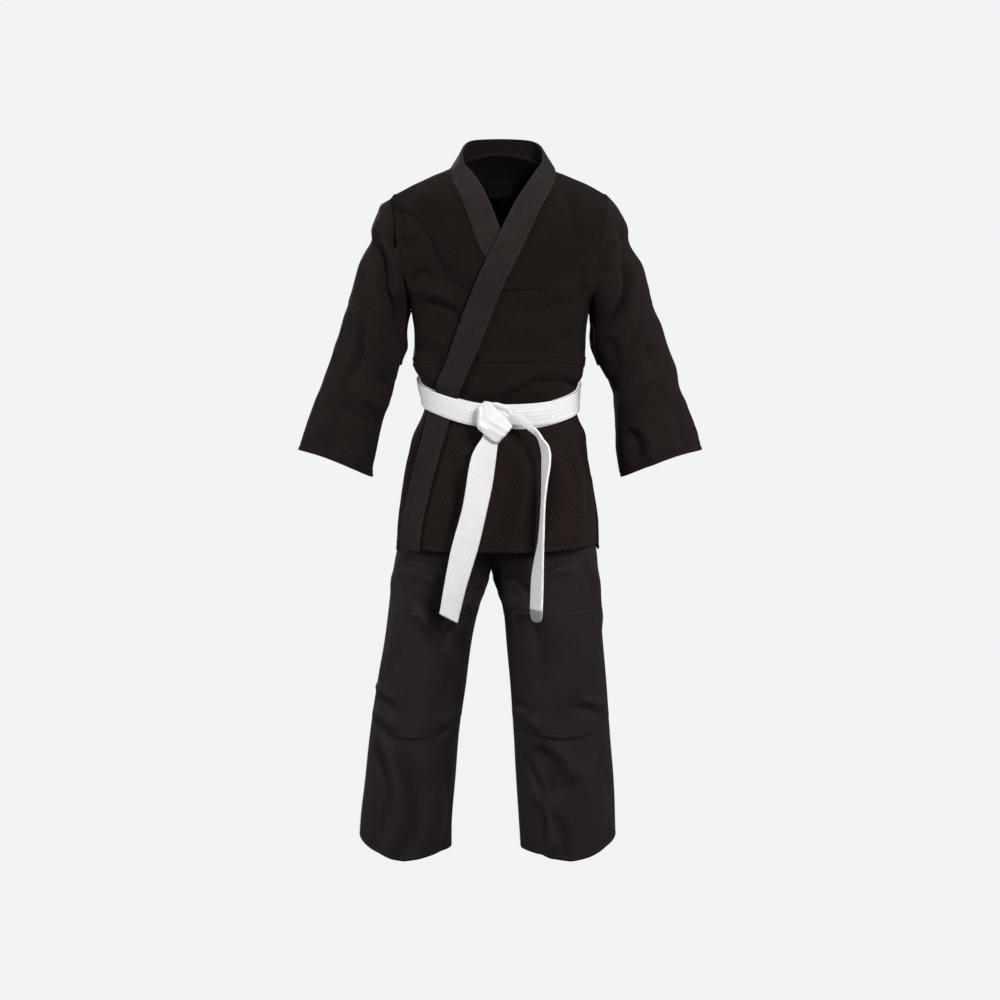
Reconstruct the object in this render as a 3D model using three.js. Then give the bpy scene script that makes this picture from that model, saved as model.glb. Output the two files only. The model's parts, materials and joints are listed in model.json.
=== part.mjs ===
// A martial arts uniform: wrapped jacket, tied belt and wide trousers, hanging as if worn.
// Millimetres, +Z up, front towards -Y, wearer's left towards +X, hems on z = 0.
import * as THREE from 'three';
import { mergeVertices } from 'three/addons/utils/BufferGeometryUtils.js';

// ---------- driving dimensions ----------
const CLOTH = 3; // heavy cotton, one layer
const TRIM = 2; // patches, tapes and hems
const LAPEL = 4; // the folded and quilted lapel
const SEAM_GAP = 0.8; // left between two panels that are sewn edge to edge

const SKIRT_HEM_Z = 597;
const SKIRT_TOP_Z = 792; // where the loose skirt starts
const BODY_BOTTOM_Z = 801; // the part of the jacket that the belt holds still
const WAIST_SEAM_Z = 955;
const CHEST_CROWN_Z = 1130; // above this the chest curves in to the shoulder line
const NECK_X = 100;
const NECK_Z = 1315;
const SHOULDER_X = 200;
const SHOULDER_Z = 1267;
const COLLAR_TOP_Z = 1374;

const UNDER_PANEL = -13.5; // layers of the wrapped front, from the outer panel's middle
const UNDER_LAPEL = -7.2;
const OUTER_TRIM = 5.5;
const OUTER_LAPEL = 6.5;
const NAPE_RISE = 50;
const NECK_LIFT = 5; // the lapels stand off the chest near the neck
const BELT_FIRST_TURN = 13;
const BELT_SECOND_TURN = 18;

const BELT_WIDTH = 44;
const BELT_FRONT_Z = 848;
const BELT_TILT = 0.3; // rise of the belt per millimetre from front to back
const KNOT = { x: -10, y: -138, z: 835, rx: 33, ry: 19, rz: 39 };

const NECK_TAB = { width: 46, height: 30, y: 40, z: 1278 };
const HIP_Z = 560; // axis that both legs swing about
const HIP_RADIUS = 101.5;
const CROTCH_X = -17;
const CROTCH_Z = 551;
const WAISTBAND_TOP_Z = 862;
const WAISTBAND_Z = 832;
const SIDE_HEM_LIFT = 20; // the trouser hems rise this much at the sides

// Profiles: [height, value] pairs, joined smoothly.
const BODY_HALF_WIDTH = [
  [597, 196], [700, 178], [792, 153], [870, 138], [955, 152],
  [1040, 165], [1060, 170], [1100, 200], [1140, 212], [1374, 218],
];
const BODY_EDGE = [[1060, 169], [1267, 198]]; // the armhole's line, above the armpit
const FRONT_DEPTH = [[597, 124], [700, 115], [800, 103], [870, 97], [955, 110], [1060, 120], [1374, 116]];
const BACK_DEPTH = [[597, 132], [700, 122], [800, 102], [870, 92], [955, 102], [1060, 118], [1374, 114]];
const OUTER_LAPEL_LINE = [
  [597, -168], [646, -164], [718, -148], [795, -128], [870, -106],
  [1009, -54], [1106, -16], [1174, 18], [1273, 66], [1306, 88],
];
const UNDER_LAPEL_LINE = [
  [597, 60], [795, 96], [870, 92], [1009, 50], [1146, 0], [1182, -18], [1225, -34], [1273, -56], [1306, -80],
];
const LAPEL_HALF_WIDTH = [[597, 18], [700, 23], [1200, 24], [1306, 17]];
const SEAT_HALF_WIDTH = [[560, 193], [590, 189], [700, 155], [790, 119], [862, 106]];
const SEAT_DEPTH = [[560, 96], [590, 96], [700, 84], [790, 74], [862, 69]];
const LEG_DEPTH = [[0, 82], [280, 84], [450, 90], [560, 96], [670, 92]];
const LEGS = {
  left: {
    outer: [[0, 219], [148, 216], [331, 204], [490, 190], [590, 180], [670, 155]],
    inner: [[0, 41], [148, 32], [331, 21], [422, 13], [490, 4], [540, -12], [551, -15]],
  },
  right: {
    outer: [[0, -270], [148, -259], [331, -235], [490, -211], [590, -191], [670, -160]],
    inner: [[0, -95], [148, -87], [331, -66], [422, -54], [490, -38], [540, -22], [551, -19]],
  },
};
const SLEEVE_OUTER = [
  [202, 1266], [231, 1238], [247, 1180], [264, 1129], [302, 1014], [350, 878], [383, 787],
];
const SLEEVE_INNER = [[174, 1062], [175, 1000], [187, 950], [206, 905], [224, 840], [238, 733]];
const SLEEVE_DEPTH = [[0, 64], [0.5, 62], [1, 58]];
const SLEEVE_SEAM = 0.42; // share of the sleeve's length above its cross seam
const CUFF_START = 0.94;

const COLOURS = {
  pearl: 0x1f1919,
  quilt: 0x231d1c,
  lapel: 0x2d2726,
  lining: 0x1d1917,
  skirt: 0x221a18,
  twill: 0x2a2423,
  belt: 0xdededf,
  tip: 0x7c7979,
  cord: 0xcfcbc4,
};

// ---------- shape helpers ----------
const clamp = THREE.MathUtils.clamp;
const lerp = THREE.MathUtils.lerp;
const vector = (x, y, z) => new THREE.Vector3(x, y, z);

function along(profile, at) {
  const last = profile.length - 1;
  if (at <= profile[0][0]) return profile[0][1];
  if (at >= profile[last][0]) return profile[last][1];
  const i = profile.findIndex(([key]) => key > at) - 1;
  const [a, va] = profile[i];
  const [b, vb] = profile[i + 1];
  return lerp(va, vb, (at - a) / (b - a));
}

function normalOf(surface, u, v) {
  const step = 1e-4;
  const u0 = clamp(u, step, 1 - step);
  const v0 = clamp(v, step, 1 - step);
  const du = surface(u0 + step, v0).sub(surface(u0 - step, v0));
  const dv = surface(u0, v0 + step).sub(surface(u0, v0 - step));
  return du.cross(dv).normalize();
}

// A closed thin solid whose middle layer is surface(u, v), with u and v from 0 to 1.
function sheet(surface, thickness, nu, nv) {
  const geometry = new THREE.BoxGeometry(1, 1, 1, nu, nv, 1);
  geometry.deleteAttribute('normal');
  geometry.deleteAttribute('uv');
  const position = geometry.attributes.position;
  for (let i = 0; i < position.count; i++) {
    const u = position.getX(i) + 0.5;
    const v = position.getY(i) + 0.5;
    const point = surface(u, v);
    point.addScaledVector(normalOf(surface, u, v), position.getZ(i) * thickness);
    position.setXYZ(i, point.x, point.y, point.z);
  }
  const closed = mergeVertices(geometry, 1e-3);
  closed.computeVertexNormals();
  return closed;
}

function cloth(name, geometry, colour, parent) {
  const material = new THREE.MeshStandardMaterial({ color: colour, roughness: 0.92, metalness: 0 });
  const mesh = new THREE.Mesh(geometry, material);
  mesh.name = name;
  parent.add(mesh);
  return mesh;
}

// ---------- jacket body ----------
const SHOULDER_SLOPE = (NECK_Z - SHOULDER_Z) / (SHOULDER_X - NECK_X);
const shoulderLine = (x) => NECK_Z - Math.max(Math.abs(x) - NECK_X, -12) * SHOULDER_SLOPE;

// How far the cloth still stands from the shoulder line: 1 at the chest, 0 on the shoulder.
// Behind the neck it stays out, because it runs up to the collar there.
function crown(x, z, facing) {
  const behindNeck = facing > 0 ? NAPE_RISE * Math.max(1 - (x / NECK_X) ** 2, 0) : 0;
  const rise = clamp((z - CHEST_CROWN_Z) / (shoulderLine(x) + behindNeck - CHEST_CROWN_Z), 0, 1);
  return Math.sqrt(1 - rise * rise);
}

const BODY_X_POWER = 0.9;
const BODY_Y_POWER = 0.8;

function angleAt(x, z) {
  const share = clamp(Math.abs(x) / along(BODY_HALF_WIDTH, z), 0, 1);
  return Math.sign(x) * Math.asin(share ** (1 / BODY_X_POWER));
}

// A point on the jacket: angle 0 is the middle of the side named by facing (-1 front, 1 back).
function bodyPoint(angle, z, facing, offset = 0) {
  const depth = along(facing < 0 ? FRONT_DEPTH : BACK_DEPTH, z);
  const x = (along(BODY_HALF_WIDTH, z) + offset) * Math.sign(angle) * Math.abs(Math.sin(angle)) ** BODY_X_POWER;
  const bulge = crown(x, z, facing);
  const y = (depth + offset) * Math.abs(Math.cos(angle)) ** BODY_Y_POWER * bulge;
  return vector(x, facing * (y + SEAM_GAP), z + offset * (1 - bulge));
}

const sideX = (z) => (z > BODY_EDGE[0][0] ? along(BODY_EDGE, z) : along(BODY_HALF_WIDTH, z));

// Panel between two side lines, from a flat lower edge up to the shoulder line.
function bodySurface({ facing, from, to, low, topFrom, topTo, offset = 0, drop = 2 }) {
  const flip = facing < 0 ? 1 : -1; // keeps the outside of the cloth outwards
  return (u, v) => {
    const across = flip > 0 ? u : 1 - u;
    const topX = lerp(topFrom, topTo, across);
    const nape = facing > 0 ? 4 * Math.max(1 - (topX / NECK_X) ** 2, 0) : 0;
    const z = lerp(low(topX), shoulderLine(topX) + nape - drop, v);
    const angle = lerp(angleAt(from(z), z), angleAt(to(z), z), across);
    return bodyPoint(angle, z, facing, offset);
  };
}

const yokeLow = (x) => along([[80, 1090], [106, 1110], [144, 1148], [200, 1190]], Math.abs(x));

function addBodyPanels(jacket) {
  const flat = () => BODY_BOTTOM_Z;
  const outer = bodySurface({
    facing: -1, low: flat, from: (z) => along(OUTER_LAPEL_LINE, z), to: sideX, topFrom: 88, topTo: 198,
  });
  const under = bodySurface({
    facing: -1, low: flat, from: (z) => -sideX(z), to: (z) => along(UNDER_LAPEL_LINE, z),
    topFrom: -198, topTo: -80, offset: UNDER_PANEL,
  });
  cloth('front_panel_left', sheet(outer, CLOTH, 9, 9), COLOURS.pearl, jacket);
  cloth('front_panel_right', sheet(under, CLOTH, 9, 9), COLOURS.pearl, jacket);
  const backEdge = (sign) => bodySurface({
    facing: 1, low: flat,
    from: (z) => (sign > 0 ? SEAM_GAP : -sideX(z)),
    to: (z) => (sign > 0 ? sideX(z) : -SEAM_GAP),
    topFrom: sign > 0 ? 0 : -198, topTo: sign > 0 ? 198 : 0,
  });
  cloth('back_panel_left', sheet(backEdge(1), CLOTH, 6, 8), COLOURS.pearl, jacket);
  cloth('back_panel_right', sheet(backEdge(-1), CLOTH, 6, 8), COLOURS.pearl, jacket);
}

function addYokes(jacket) {
  const inset = 4;
  const beside = (line, side) => (z) => along(line, z) + side * (along(LAPEL_HALF_WIDTH, z) + inset);
  const left = bodySurface({
    facing: -1, low: yokeLow, from: beside(OUTER_LAPEL_LINE, 1), to: (z) => sideX(z) - inset,
    topFrom: 110, topTo: 194, offset: OUTER_TRIM, drop: 14,
  });
  const right = bodySurface({
    facing: -1, low: yokeLow, from: (z) => inset - sideX(z), to: beside(UNDER_LAPEL_LINE, -1),
    topFrom: -194, topTo: -104, offset: UNDER_PANEL + OUTER_TRIM, drop: 14,
  });
  const back = (offset, low, drop) => bodySurface({
    facing: 1, low, from: (z) => inset - sideX(z), to: (z) => sideX(z) - inset,
    topFrom: -194, topTo: 194, offset, drop,
  });
  cloth('shoulder_yoke_left', sheet(left, TRIM, 5, 5), COLOURS.quilt, jacket);
  cloth('shoulder_yoke_right', sheet(right, TRIM, 5, 5), COLOURS.quilt, jacket);
  cloth('back_yoke', sheet(back(OUTER_TRIM + 1, () => 1120, 20), TRIM, 12, 5), COLOURS.quilt, jacket);
  cloth('inner_yoke_lining', sheet(back(-3 * OUTER_TRIM, () => 1170, 62), TRIM, 12, 4), COLOURS.lining, jacket);
}

// A strip laid on the front, centred on a slanting line.
function stripSurface(line, low, high, offset) {
  return (u, v) => {
    const z = lerp(low, high, v);
    const x = along(line, z) + (2 * u - 1) * along(LAPEL_HALF_WIDTH, z);
    return bodyPoint(angleAt(x, z), z, -1, offset + NECK_LIFT * THREE.MathUtils.smoothstep(z, 1195, 1235));
  };
}

function addLapelsAndCollar(jacket) {
  const top = 1290;
  const outer = stripSurface(OUTER_LAPEL_LINE, BODY_BOTTOM_Z, top, OUTER_LAPEL);
  const under = stripSurface(UNDER_LAPEL_LINE, BODY_BOTTOM_Z, top, UNDER_LAPEL);
  cloth('lapel_left', sheet(outer, LAPEL, 2, 9), COLOURS.lapel, jacket);
  cloth('lapel_right', sheet(under, LAPEL - 0.6, 2, 9), COLOURS.lapel, jacket);
  const collar = (u, v) => {
    const angle = lerp(-1.75, 1.75, u);
    const behind = Math.cos(angle);
    const low = lerp(1322, 1338, clamp(behind, 0, 1));
    const high = lerp(1332, COLLAR_TOP_Z, Math.sqrt(clamp(behind, 0, 1)));
    const lean = 1 - 0.16 * v;
    return vector(-96 * Math.sin(angle) * lean, 4 + 60 * behind * lean, lerp(low, high, v));
  };
  cloth('collar_band', sheet(collar, LAPEL + 1, 12, 2), COLOURS.lapel, jacket);
}

// A blank tab inside the back neck, where the jacket is hung.
function addNeckTab(jacket) {
  const tab = new THREE.BoxGeometry(NECK_TAB.width, TRIM, NECK_TAB.height);
  cloth('neck_tab', tab, COLOURS.lining, jacket).position.set(0, NECK_TAB.y, NECK_TAB.z);
}

function addWaistTape(jacket) {
  const tape = (u, v) => {
    const z = WAIST_SEAM_Z + lerp(-9, 9, v);
    const start = along(OUTER_LAPEL_LINE, z) + along(LAPEL_HALF_WIDTH, z) + 4;
    const angle = lerp(angleAt(start, z), angleAt(sideX(z) - 2, z), u);
    return bodyPoint(angle, z, -1, OUTER_TRIM);
  };
  cloth('waist_seam_tape', sheet(tape, TRIM, 6, 1), COLOURS.pearl, jacket);
}

// ---------- belt ----------
function beltSurface(offset, drop) {
  return (u, v) => {
    const turn = lerp(0.03, 2 * Math.PI - 0.03, u);
    const facing = Math.cos(turn) > 0 ? -1 : 1;
    const angle = Math.asin(Math.sin(turn));
    const level = bodyPoint(angle, BELT_FRONT_Z, facing, offset);
    const rise = BELT_TILT * (level.y + FRONT_DEPTH[3][1]);
    const z = BELT_FRONT_Z + rise - drop + (v - 0.5) * BELT_WIDTH;
    const point = bodyPoint(angle, clamp(z, 840, 1000), facing, offset);
    const sideways = Math.abs(Math.cos(turn)) < 0.12 ? Math.cos(turn) / 0.12 : Math.sign(Math.cos(turn));
    return vector(point.x, point.y + SEAM_GAP * (Math.abs(sideways) - 1) * facing, z);
  };
}

function addBelt(jacket) {
  cloth('belt_inner_turn', sheet(beltSurface(BELT_FIRST_TURN, 0), CLOTH, 32, 1), COLOURS.belt, jacket);
  cloth('belt_outer_turn', sheet(beltSurface(BELT_SECOND_TURN, 2), CLOTH, 32, 1), COLOURS.belt, jacket);
  const knot = new THREE.SphereGeometry(1, 16, 10);
  knot.scale(KNOT.rx, KNOT.ry, KNOT.rz);
  const mesh = cloth('belt_knot', knot, COLOURS.belt, jacket);
  mesh.position.set(KNOT.x, KNOT.y - 1, KNOT.z);
}

function addBeltEnds(parent) {
  const start = 788;
  const wideEnd = (u, v) => {
    const z = lerp(lerp(470, 452, u), start, v);
    const down = (start - z) / (start - 455);
    const x = lerp(-30, -98, down ** 1.15) + (u - 0.5) * lerp(42, 36, down);
    return vector(x, -138 - 8 * Math.sin(down * 1.4), z);
  };
  cloth('belt_end_wide', sheet(wideEnd, CLOTH, 1, 7), COLOURS.belt, parent);
  const twist = (down) => lerp(0.55, 1.3, Math.sin(Math.min(down * 1.6, 1) * Math.PI / 2));
  const narrow = (low, high) => (u, v) => {
    const z = lerp(low, high, v);
    const down = (start - z) / (start - 455);
    const turn = twist(down);
    const side = (u - 0.5) * 40;
    const x = lerp(80, 66, clamp(down * 1.2, 0, 1));
    return vector(x + side * Math.cos(turn), -152 - side * Math.sin(turn), z);
  };
  cloth('belt_end_narrow', sheet(narrow(473, start), CLOTH, 1, 7), COLOURS.belt, parent);
  cloth('belt_end_tip', sheet(narrow(453, 472.4), CLOTH, 1, 1), COLOURS.tip, parent);
}

// ---------- jacket skirt ----------
function skirtSurface({ facing, from, to, low, high, offset = 0 }) {
  return (u, v) => {
    const across = facing < 0 ? u : 1 - u;
    const z = lerp(low, high, v);
    const angle = lerp(angleAt(from(z), z), angleAt(to(z), z), across);
    return bodyPoint(angle, z, facing, offset);
  };
}

const HEM_BAND = 26;

function addOuterSkirt(parent) {
  const frontEdge = (z) => 0.985 * along(BODY_HALF_WIDTH, z);
  const line = (z) => along(OUTER_LAPEL_LINE, z);
  const besideLapel = (z) => line(z) + along(LAPEL_HALF_WIDTH, z) + 3;
  const panel = { facing: -1, from: line, to: frontEdge, low: SKIRT_HEM_Z, high: SKIRT_TOP_Z };
  const high = SKIRT_HEM_Z + HEM_BAND;
  const hem = { ...panel, from: besideLapel, to: (z) => frontEdge(z) - 6, high, offset: OUTER_TRIM };
  cloth('skirt_front_outer', sheet(skirtSurface(panel), CLOTH, 8, 5), COLOURS.skirt, parent);
  cloth('skirt_hem_outer', sheet(skirtSurface(hem), TRIM, 7, 1), COLOURS.skirt, parent);
  const lapel = stripSurface(OUTER_LAPEL_LINE, SKIRT_HEM_Z, SKIRT_TOP_Z, OUTER_LAPEL);
  cloth('lapel_tail_left', sheet(lapel, LAPEL, 2, 5), COLOURS.lapel, parent);
}

function addUnderSkirt(parent) {
  const sideEdge = (z) => -0.60 * along(BODY_HALF_WIDTH, z);
  const line = (z) => along(UNDER_LAPEL_LINE, z);
  const panel = { facing: -1, from: sideEdge, to: line, low: SKIRT_HEM_Z, high: SKIRT_TOP_Z, offset: UNDER_PANEL };
  cloth('skirt_front_under', sheet(skirtSurface(panel), CLOTH, 7, 5), COLOURS.skirt, parent);
  const lapel = stripSurface(UNDER_LAPEL_LINE, SKIRT_HEM_Z, SKIRT_TOP_Z, UNDER_LAPEL);
  cloth('lapel_tail_right', sheet(lapel, LAPEL - 0.6, 2, 5), COLOURS.lapel, parent);
}

function addBackSkirt(parent) {
  const reach = 7;
  const edge = (z) => along(BODY_HALF_WIDTH, z) * 0.998;
  const left = { facing: 1, from: () => SEAM_GAP, to: edge, low: SKIRT_HEM_Z, high: SKIRT_TOP_Z, offset: reach };
  const right = { ...left, from: (z) => -edge(z), to: () => -SEAM_GAP };
  cloth('skirt_back_left', sheet(skirtSurface(left), CLOTH, 6, 5), COLOURS.skirt, parent);
  cloth('skirt_back_right', sheet(skirtSurface(right), CLOTH, 6, 5), COLOURS.skirt, parent);
  const hem = {
    facing: 1, from: (z) => 8 - edge(z), to: (z) => edge(z) - 8,
    low: SKIRT_HEM_Z, high: SKIRT_HEM_Z + HEM_BAND, offset: reach + OUTER_TRIM,
  };
  cloth('skirt_hem_back', sheet(skirtSurface(hem), TRIM, 10, 1), COLOURS.skirt, parent);
}

// ---------- sleeves ----------
const splineOf = (points) => new THREE.SplineCurve(points.map(([x, z]) => new THREE.Vector2(x, z)));
const sleeveOuter = splineOf(SLEEVE_OUTER);
const sleeveInner = splineOf(SLEEVE_INNER);

function sleevePoint(angle, share, side, offset = 0) {
  const outer = sleeveOuter.getPointAt(share);
  const inner = sleeveInner.getPointAt(share);
  const middle = outer.clone().add(inner).multiplyScalar(0.5);
  const arm = outer.clone().sub(inner).multiplyScalar(0.5);
  arm.setLength(arm.length() + offset);
  const across = Math.sign(Math.cos(angle)) * Math.abs(Math.cos(angle)) ** 0.9;
  const depth = (along(SLEEVE_DEPTH, share) + offset) * Math.sign(Math.sin(angle)) * Math.abs(Math.sin(angle)) ** 0.9;
  return vector(side * (middle.x + arm.x * across), depth, middle.y + arm.y * across);
}

function sleeveSurface(side, from, to, offset = 0, half = Math.PI - 0.02) {
  return (u, v) => sleevePoint(side * lerp(-half, half, u), lerp(to, from, v), side, offset);
}

function addSleeve(parent, name, side) {
  const upper = sleeveSurface(side, 0.008, SLEEVE_SEAM - 0.002);
  const lower = sleeveSurface(side, SLEEVE_SEAM + 0.002, 1);
  const cuff = sleeveSurface(side, CUFF_START, 0.998, OUTER_TRIM);
  cloth(`sleeve_upper_${name}`, sheet(upper, CLOTH, 18, 5), COLOURS.pearl, parent);
  cloth(`sleeve_lower_${name}`, sheet(lower, CLOTH, 18, 5), COLOURS.pearl, parent);
  cloth(`cuff_hem_${name}`, sheet(cuff, TRIM, 18, 1), COLOURS.pearl, parent);
  const gusset = (u, v) => sleevePoint(side * (Math.PI + lerp(-0.7, 0.7, u)), lerp(0.3, 0.08, v), side, -2 * OUTER_TRIM);
  cloth(`underarm_gusset_${name}`, sheet(gusset, TRIM, 4, 3), COLOURS.pearl, parent);
}

// ---------- trousers ----------
function seatPoint(angle, z, facing, offset = 0) {
  const x = CROTCH_X * 0.4 + (along(SEAT_HALF_WIDTH, z) + offset) * Math.sin(angle);
  const y = facing * ((along(SEAT_DEPTH, z) + offset) * Math.abs(Math.cos(angle)) ** 0.9 + SEAM_GAP / 2);
  return vector(x, y, z);
}

// Height of the hip arc above a point that is y in front of or behind the hip axis.
const hipArc = (radius, y) => HIP_Z + Math.sqrt(Math.max(radius * radius - y * y, 0));

function addSeat(parent) {
  const half = Math.PI / 2;
  const panel = (facing) => (u, v) => {
    const angle = lerp(-half, half, u) * -facing;
    const low = hipArc(HIP_RADIUS + 7, seatPoint(angle, 600, facing).y);
    return seatPoint(angle, lerp(low, WAISTBAND_TOP_Z, v), facing);
  };
  cloth('trouser_seat_front', sheet(panel(-1), CLOTH, 8, 4), COLOURS.twill, parent);
  cloth('trouser_seat_back', sheet(panel(1), CLOTH, 8, 4), COLOURS.twill, parent);
  const band = (u, v) => {
    const turn = lerp(0.05, 2 * Math.PI - 0.05, u);
    const facing = Math.cos(turn) > 0 ? -1 : 1;
    const point = seatPoint(Math.asin(Math.sin(turn)), lerp(WAISTBAND_Z, WAISTBAND_TOP_Z, v), facing, OUTER_TRIM);
    return point;
  };
  cloth('waistband', sheet(band, TRIM, 24, 1), COLOURS.twill, parent);
}

function addDrawstring(parent) {
  const level = WAISTBAND_Z - 8;
  const front = -(along(SEAT_DEPTH, level) + 6.5);
  const path = new THREE.CatmullRomCurve3([
    vector(-26, front - 3, level - 66),
    vector(-20, front, level - 20),
    vector(-9, front, level),
    vector(9, front, level),
    vector(20, front, level - 24),
    vector(24, front - 4, level - 78),
  ]);
  const round = new THREE.Shape();
  round.absarc(0, 0, 2, 0, 2 * Math.PI);
  const cord = new THREE.ExtrudeGeometry(round, { extrudePath: path, steps: 16, curveSegments: 6 });
  cord.deleteAttribute('normal');
  cord.deleteAttribute('uv');
  cloth('drawstring', mergeVertices(cord, 1e-3), COLOURS.cord, parent);
}

// angle 0 is the outer seam and PI the inner seam; facing -1 is the front half of the leg.
function legPoint(side, angle, z, facing, offset = 0) {
  const outer = along(LEGS[side].outer, z);
  const inner = along(LEGS[side].inner, z);
  const sign = Math.sign(outer);
  const depth = along(LEG_DEPTH, z) + offset;
  const radius = Math.abs(outer - inner) / 2 + offset;
  const tubeX = (outer + inner) / 2 + sign * radius * Math.cos(angle);
  const tubeY = depth * Math.sin(angle) ** 0.9;
  const centreX = CROTCH_X + sign * 2;
  const hipX = centreX + (outer - centreX + sign * offset) * Math.cos(angle / 2);
  const hipY = depth * Math.sin(angle / 2) ** 0.9;
  const toHip = THREE.MathUtils.smoothstep(z, CROTCH_Z - 45, CROTCH_Z + 40);
  const y = lerp(tubeY, hipY, toHip) + SEAM_GAP / 2;
  return vector(lerp(tubeX, hipX, toHip), facing * y, z);
}

function legSurface(side, facing, { from = 0, to = Math.PI, low, high, offset = 0 }) {
  const swap = facing * (side === 'left' ? 1 : -1) > 0;
  return (u, v) => {
    const across = swap ? u : 1 - u;
    const angle = lerp(from, to, across);
    const z = lerp(low(angle), high(angle), v);
    return legPoint(side, angle, z, facing, offset);
  };
}

const hemLevel = (angle) => SIDE_HEM_LIFT * Math.cos(angle) ** 2;
const legTop = (angle) => hipArc(HIP_RADIUS, 96 * Math.sin(angle / 2) ** 0.9);

function addLeg(parent, side) {
  const whole = { low: hemLevel, high: legTop };
  cloth(`leg_front_${side}`, sheet(legSurface(side, -1, whole), CLOTH, 7, 9), COLOURS.twill, parent);
  cloth(`leg_back_${side}`, sheet(legSurface(side, 1, whole), CLOTH, 7, 9), COLOURS.twill, parent);
  const knee = {
    from: 0.2, to: Math.PI - 0.3, offset: OUTER_TRIM + 2,
    low: (angle) => 285 - 40 * Math.sin(angle),
    high: () => 478,
  };
  cloth(`knee_patch_${side}`, sheet(legSurface(side, -1, knee), TRIM, 6, 4), COLOURS.twill, parent);
  const hem = { low: hemLevel, high: (angle) => hemLevel(angle) + HEM_BAND, offset: -OUTER_TRIM, to: Math.PI - 0.02 };
  cloth(`leg_hem_front_${side}`, sheet(legSurface(side, -1, hem), TRIM, 7, 1), COLOURS.twill, parent);
  cloth(`leg_hem_back_${side}`, sheet(legSurface(side, 1, hem), TRIM, 7, 1), COLOURS.twill, parent);
  const gusset = {
    from: Math.PI - 0.7, to: Math.PI - 0.1, offset: -2 * OUTER_TRIM,
    low: (angle) => 480 - 50 * (angle - Math.PI + 0.7), high: () => 503,
  };
  cloth(`crotch_gusset_${side}`, sheet(legSurface(side, -1, gusset), TRIM, 2, 2), COLOURS.twill, parent);
}

// ---------- assembly ----------
const uniform = new THREE.Group();
const jacket = new THREE.Group();
const trousers = new THREE.Group();
uniform.add(jacket, trousers);

addBodyPanels(jacket);
addYokes(jacket);
addLapelsAndCollar(jacket);
addNeckTab(jacket);
addWaistTape(jacket);
addBelt(jacket);
addBeltEnds(jacket);
addOuterSkirt(jacket);
addUnderSkirt(jacket);
addBackSkirt(jacket);
addSleeve(jacket, 'left', 1);
addSleeve(jacket, 'right', -1);
addSeat(trousers);
addDrawstring(trousers);
addLeg(trousers, 'left');
addLeg(trousers, 'right');

// The origin is under the middle of the uniform's box, at hem level.
const box = new THREE.Box3().setFromObject(uniform, true);
const boxMiddle = box.getCenter(new THREE.Vector3());
uniform.position.set(-boxMiddle.x, -boxMiddle.y, -box.min.z);

export default uniform;
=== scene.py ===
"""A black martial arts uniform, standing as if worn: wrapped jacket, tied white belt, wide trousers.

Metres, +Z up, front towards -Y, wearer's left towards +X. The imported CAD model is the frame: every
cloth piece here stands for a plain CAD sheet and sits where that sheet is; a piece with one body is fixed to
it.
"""

import json
import math

import bpy
import numpy as np
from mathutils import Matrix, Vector


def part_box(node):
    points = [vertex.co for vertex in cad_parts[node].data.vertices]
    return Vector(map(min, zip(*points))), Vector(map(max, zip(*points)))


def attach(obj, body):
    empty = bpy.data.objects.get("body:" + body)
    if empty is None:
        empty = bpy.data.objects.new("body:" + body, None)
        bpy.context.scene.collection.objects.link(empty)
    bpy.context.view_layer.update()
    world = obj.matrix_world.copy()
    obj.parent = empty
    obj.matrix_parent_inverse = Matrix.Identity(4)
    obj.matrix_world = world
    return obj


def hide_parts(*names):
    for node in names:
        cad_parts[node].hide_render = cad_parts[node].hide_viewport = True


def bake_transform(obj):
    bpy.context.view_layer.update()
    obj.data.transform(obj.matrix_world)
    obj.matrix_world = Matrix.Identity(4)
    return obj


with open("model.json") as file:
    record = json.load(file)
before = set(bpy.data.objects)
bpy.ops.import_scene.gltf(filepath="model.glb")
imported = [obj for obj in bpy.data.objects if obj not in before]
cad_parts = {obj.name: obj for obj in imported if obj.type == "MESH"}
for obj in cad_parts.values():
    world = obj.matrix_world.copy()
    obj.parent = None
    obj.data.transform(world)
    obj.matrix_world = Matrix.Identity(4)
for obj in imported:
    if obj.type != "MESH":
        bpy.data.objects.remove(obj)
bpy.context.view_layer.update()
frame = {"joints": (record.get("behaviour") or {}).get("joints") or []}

# ---------- places taken from the frame ----------
MID_Y = next(joint for joint in frame["joints"] if joint["name"] == "left_leg_swing")["pos_m"][1]
SKIRT_HEM_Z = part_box("skirt_front_outer")[0].z
SKIRT_TOP_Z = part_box("skirt_front_outer")[1].z
WAIST_SEAM_Z = (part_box("waist_seam_tape")[0].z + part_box("waist_seam_tape")[1].z) / 2
WAISTBAND_TOP_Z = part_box("waistband")[1].z
WAISTBAND_LOW_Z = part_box("waistband")[0].z

# ---------- sizes of the cloth ----------
CLOTH = 0.0016  # one layer of jacket cotton
TWILL = 0.0012  # one layer of trouser cotton
LAPEL = 0.0042  # the folded and stitched lapel
GRID = 0.0045  # mesh spacing on the cloth
BELT_WIDTH = 0.044
BELT_THICK = 0.0034
CHEST_CROWN_Z = 1.13
CROTCH_X = -0.017
CROTCH_Z = 0.560
STITCH = 0.0042  # one stitch and its gap
UNDER = -0.008  # how far the wrapped-under front lies inside the outer one


def millimetres(rows):
    """Lengths are written in millimetres and used in metres."""
    return [tuple(value / 1000 for value in row) for row in rows]


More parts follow.
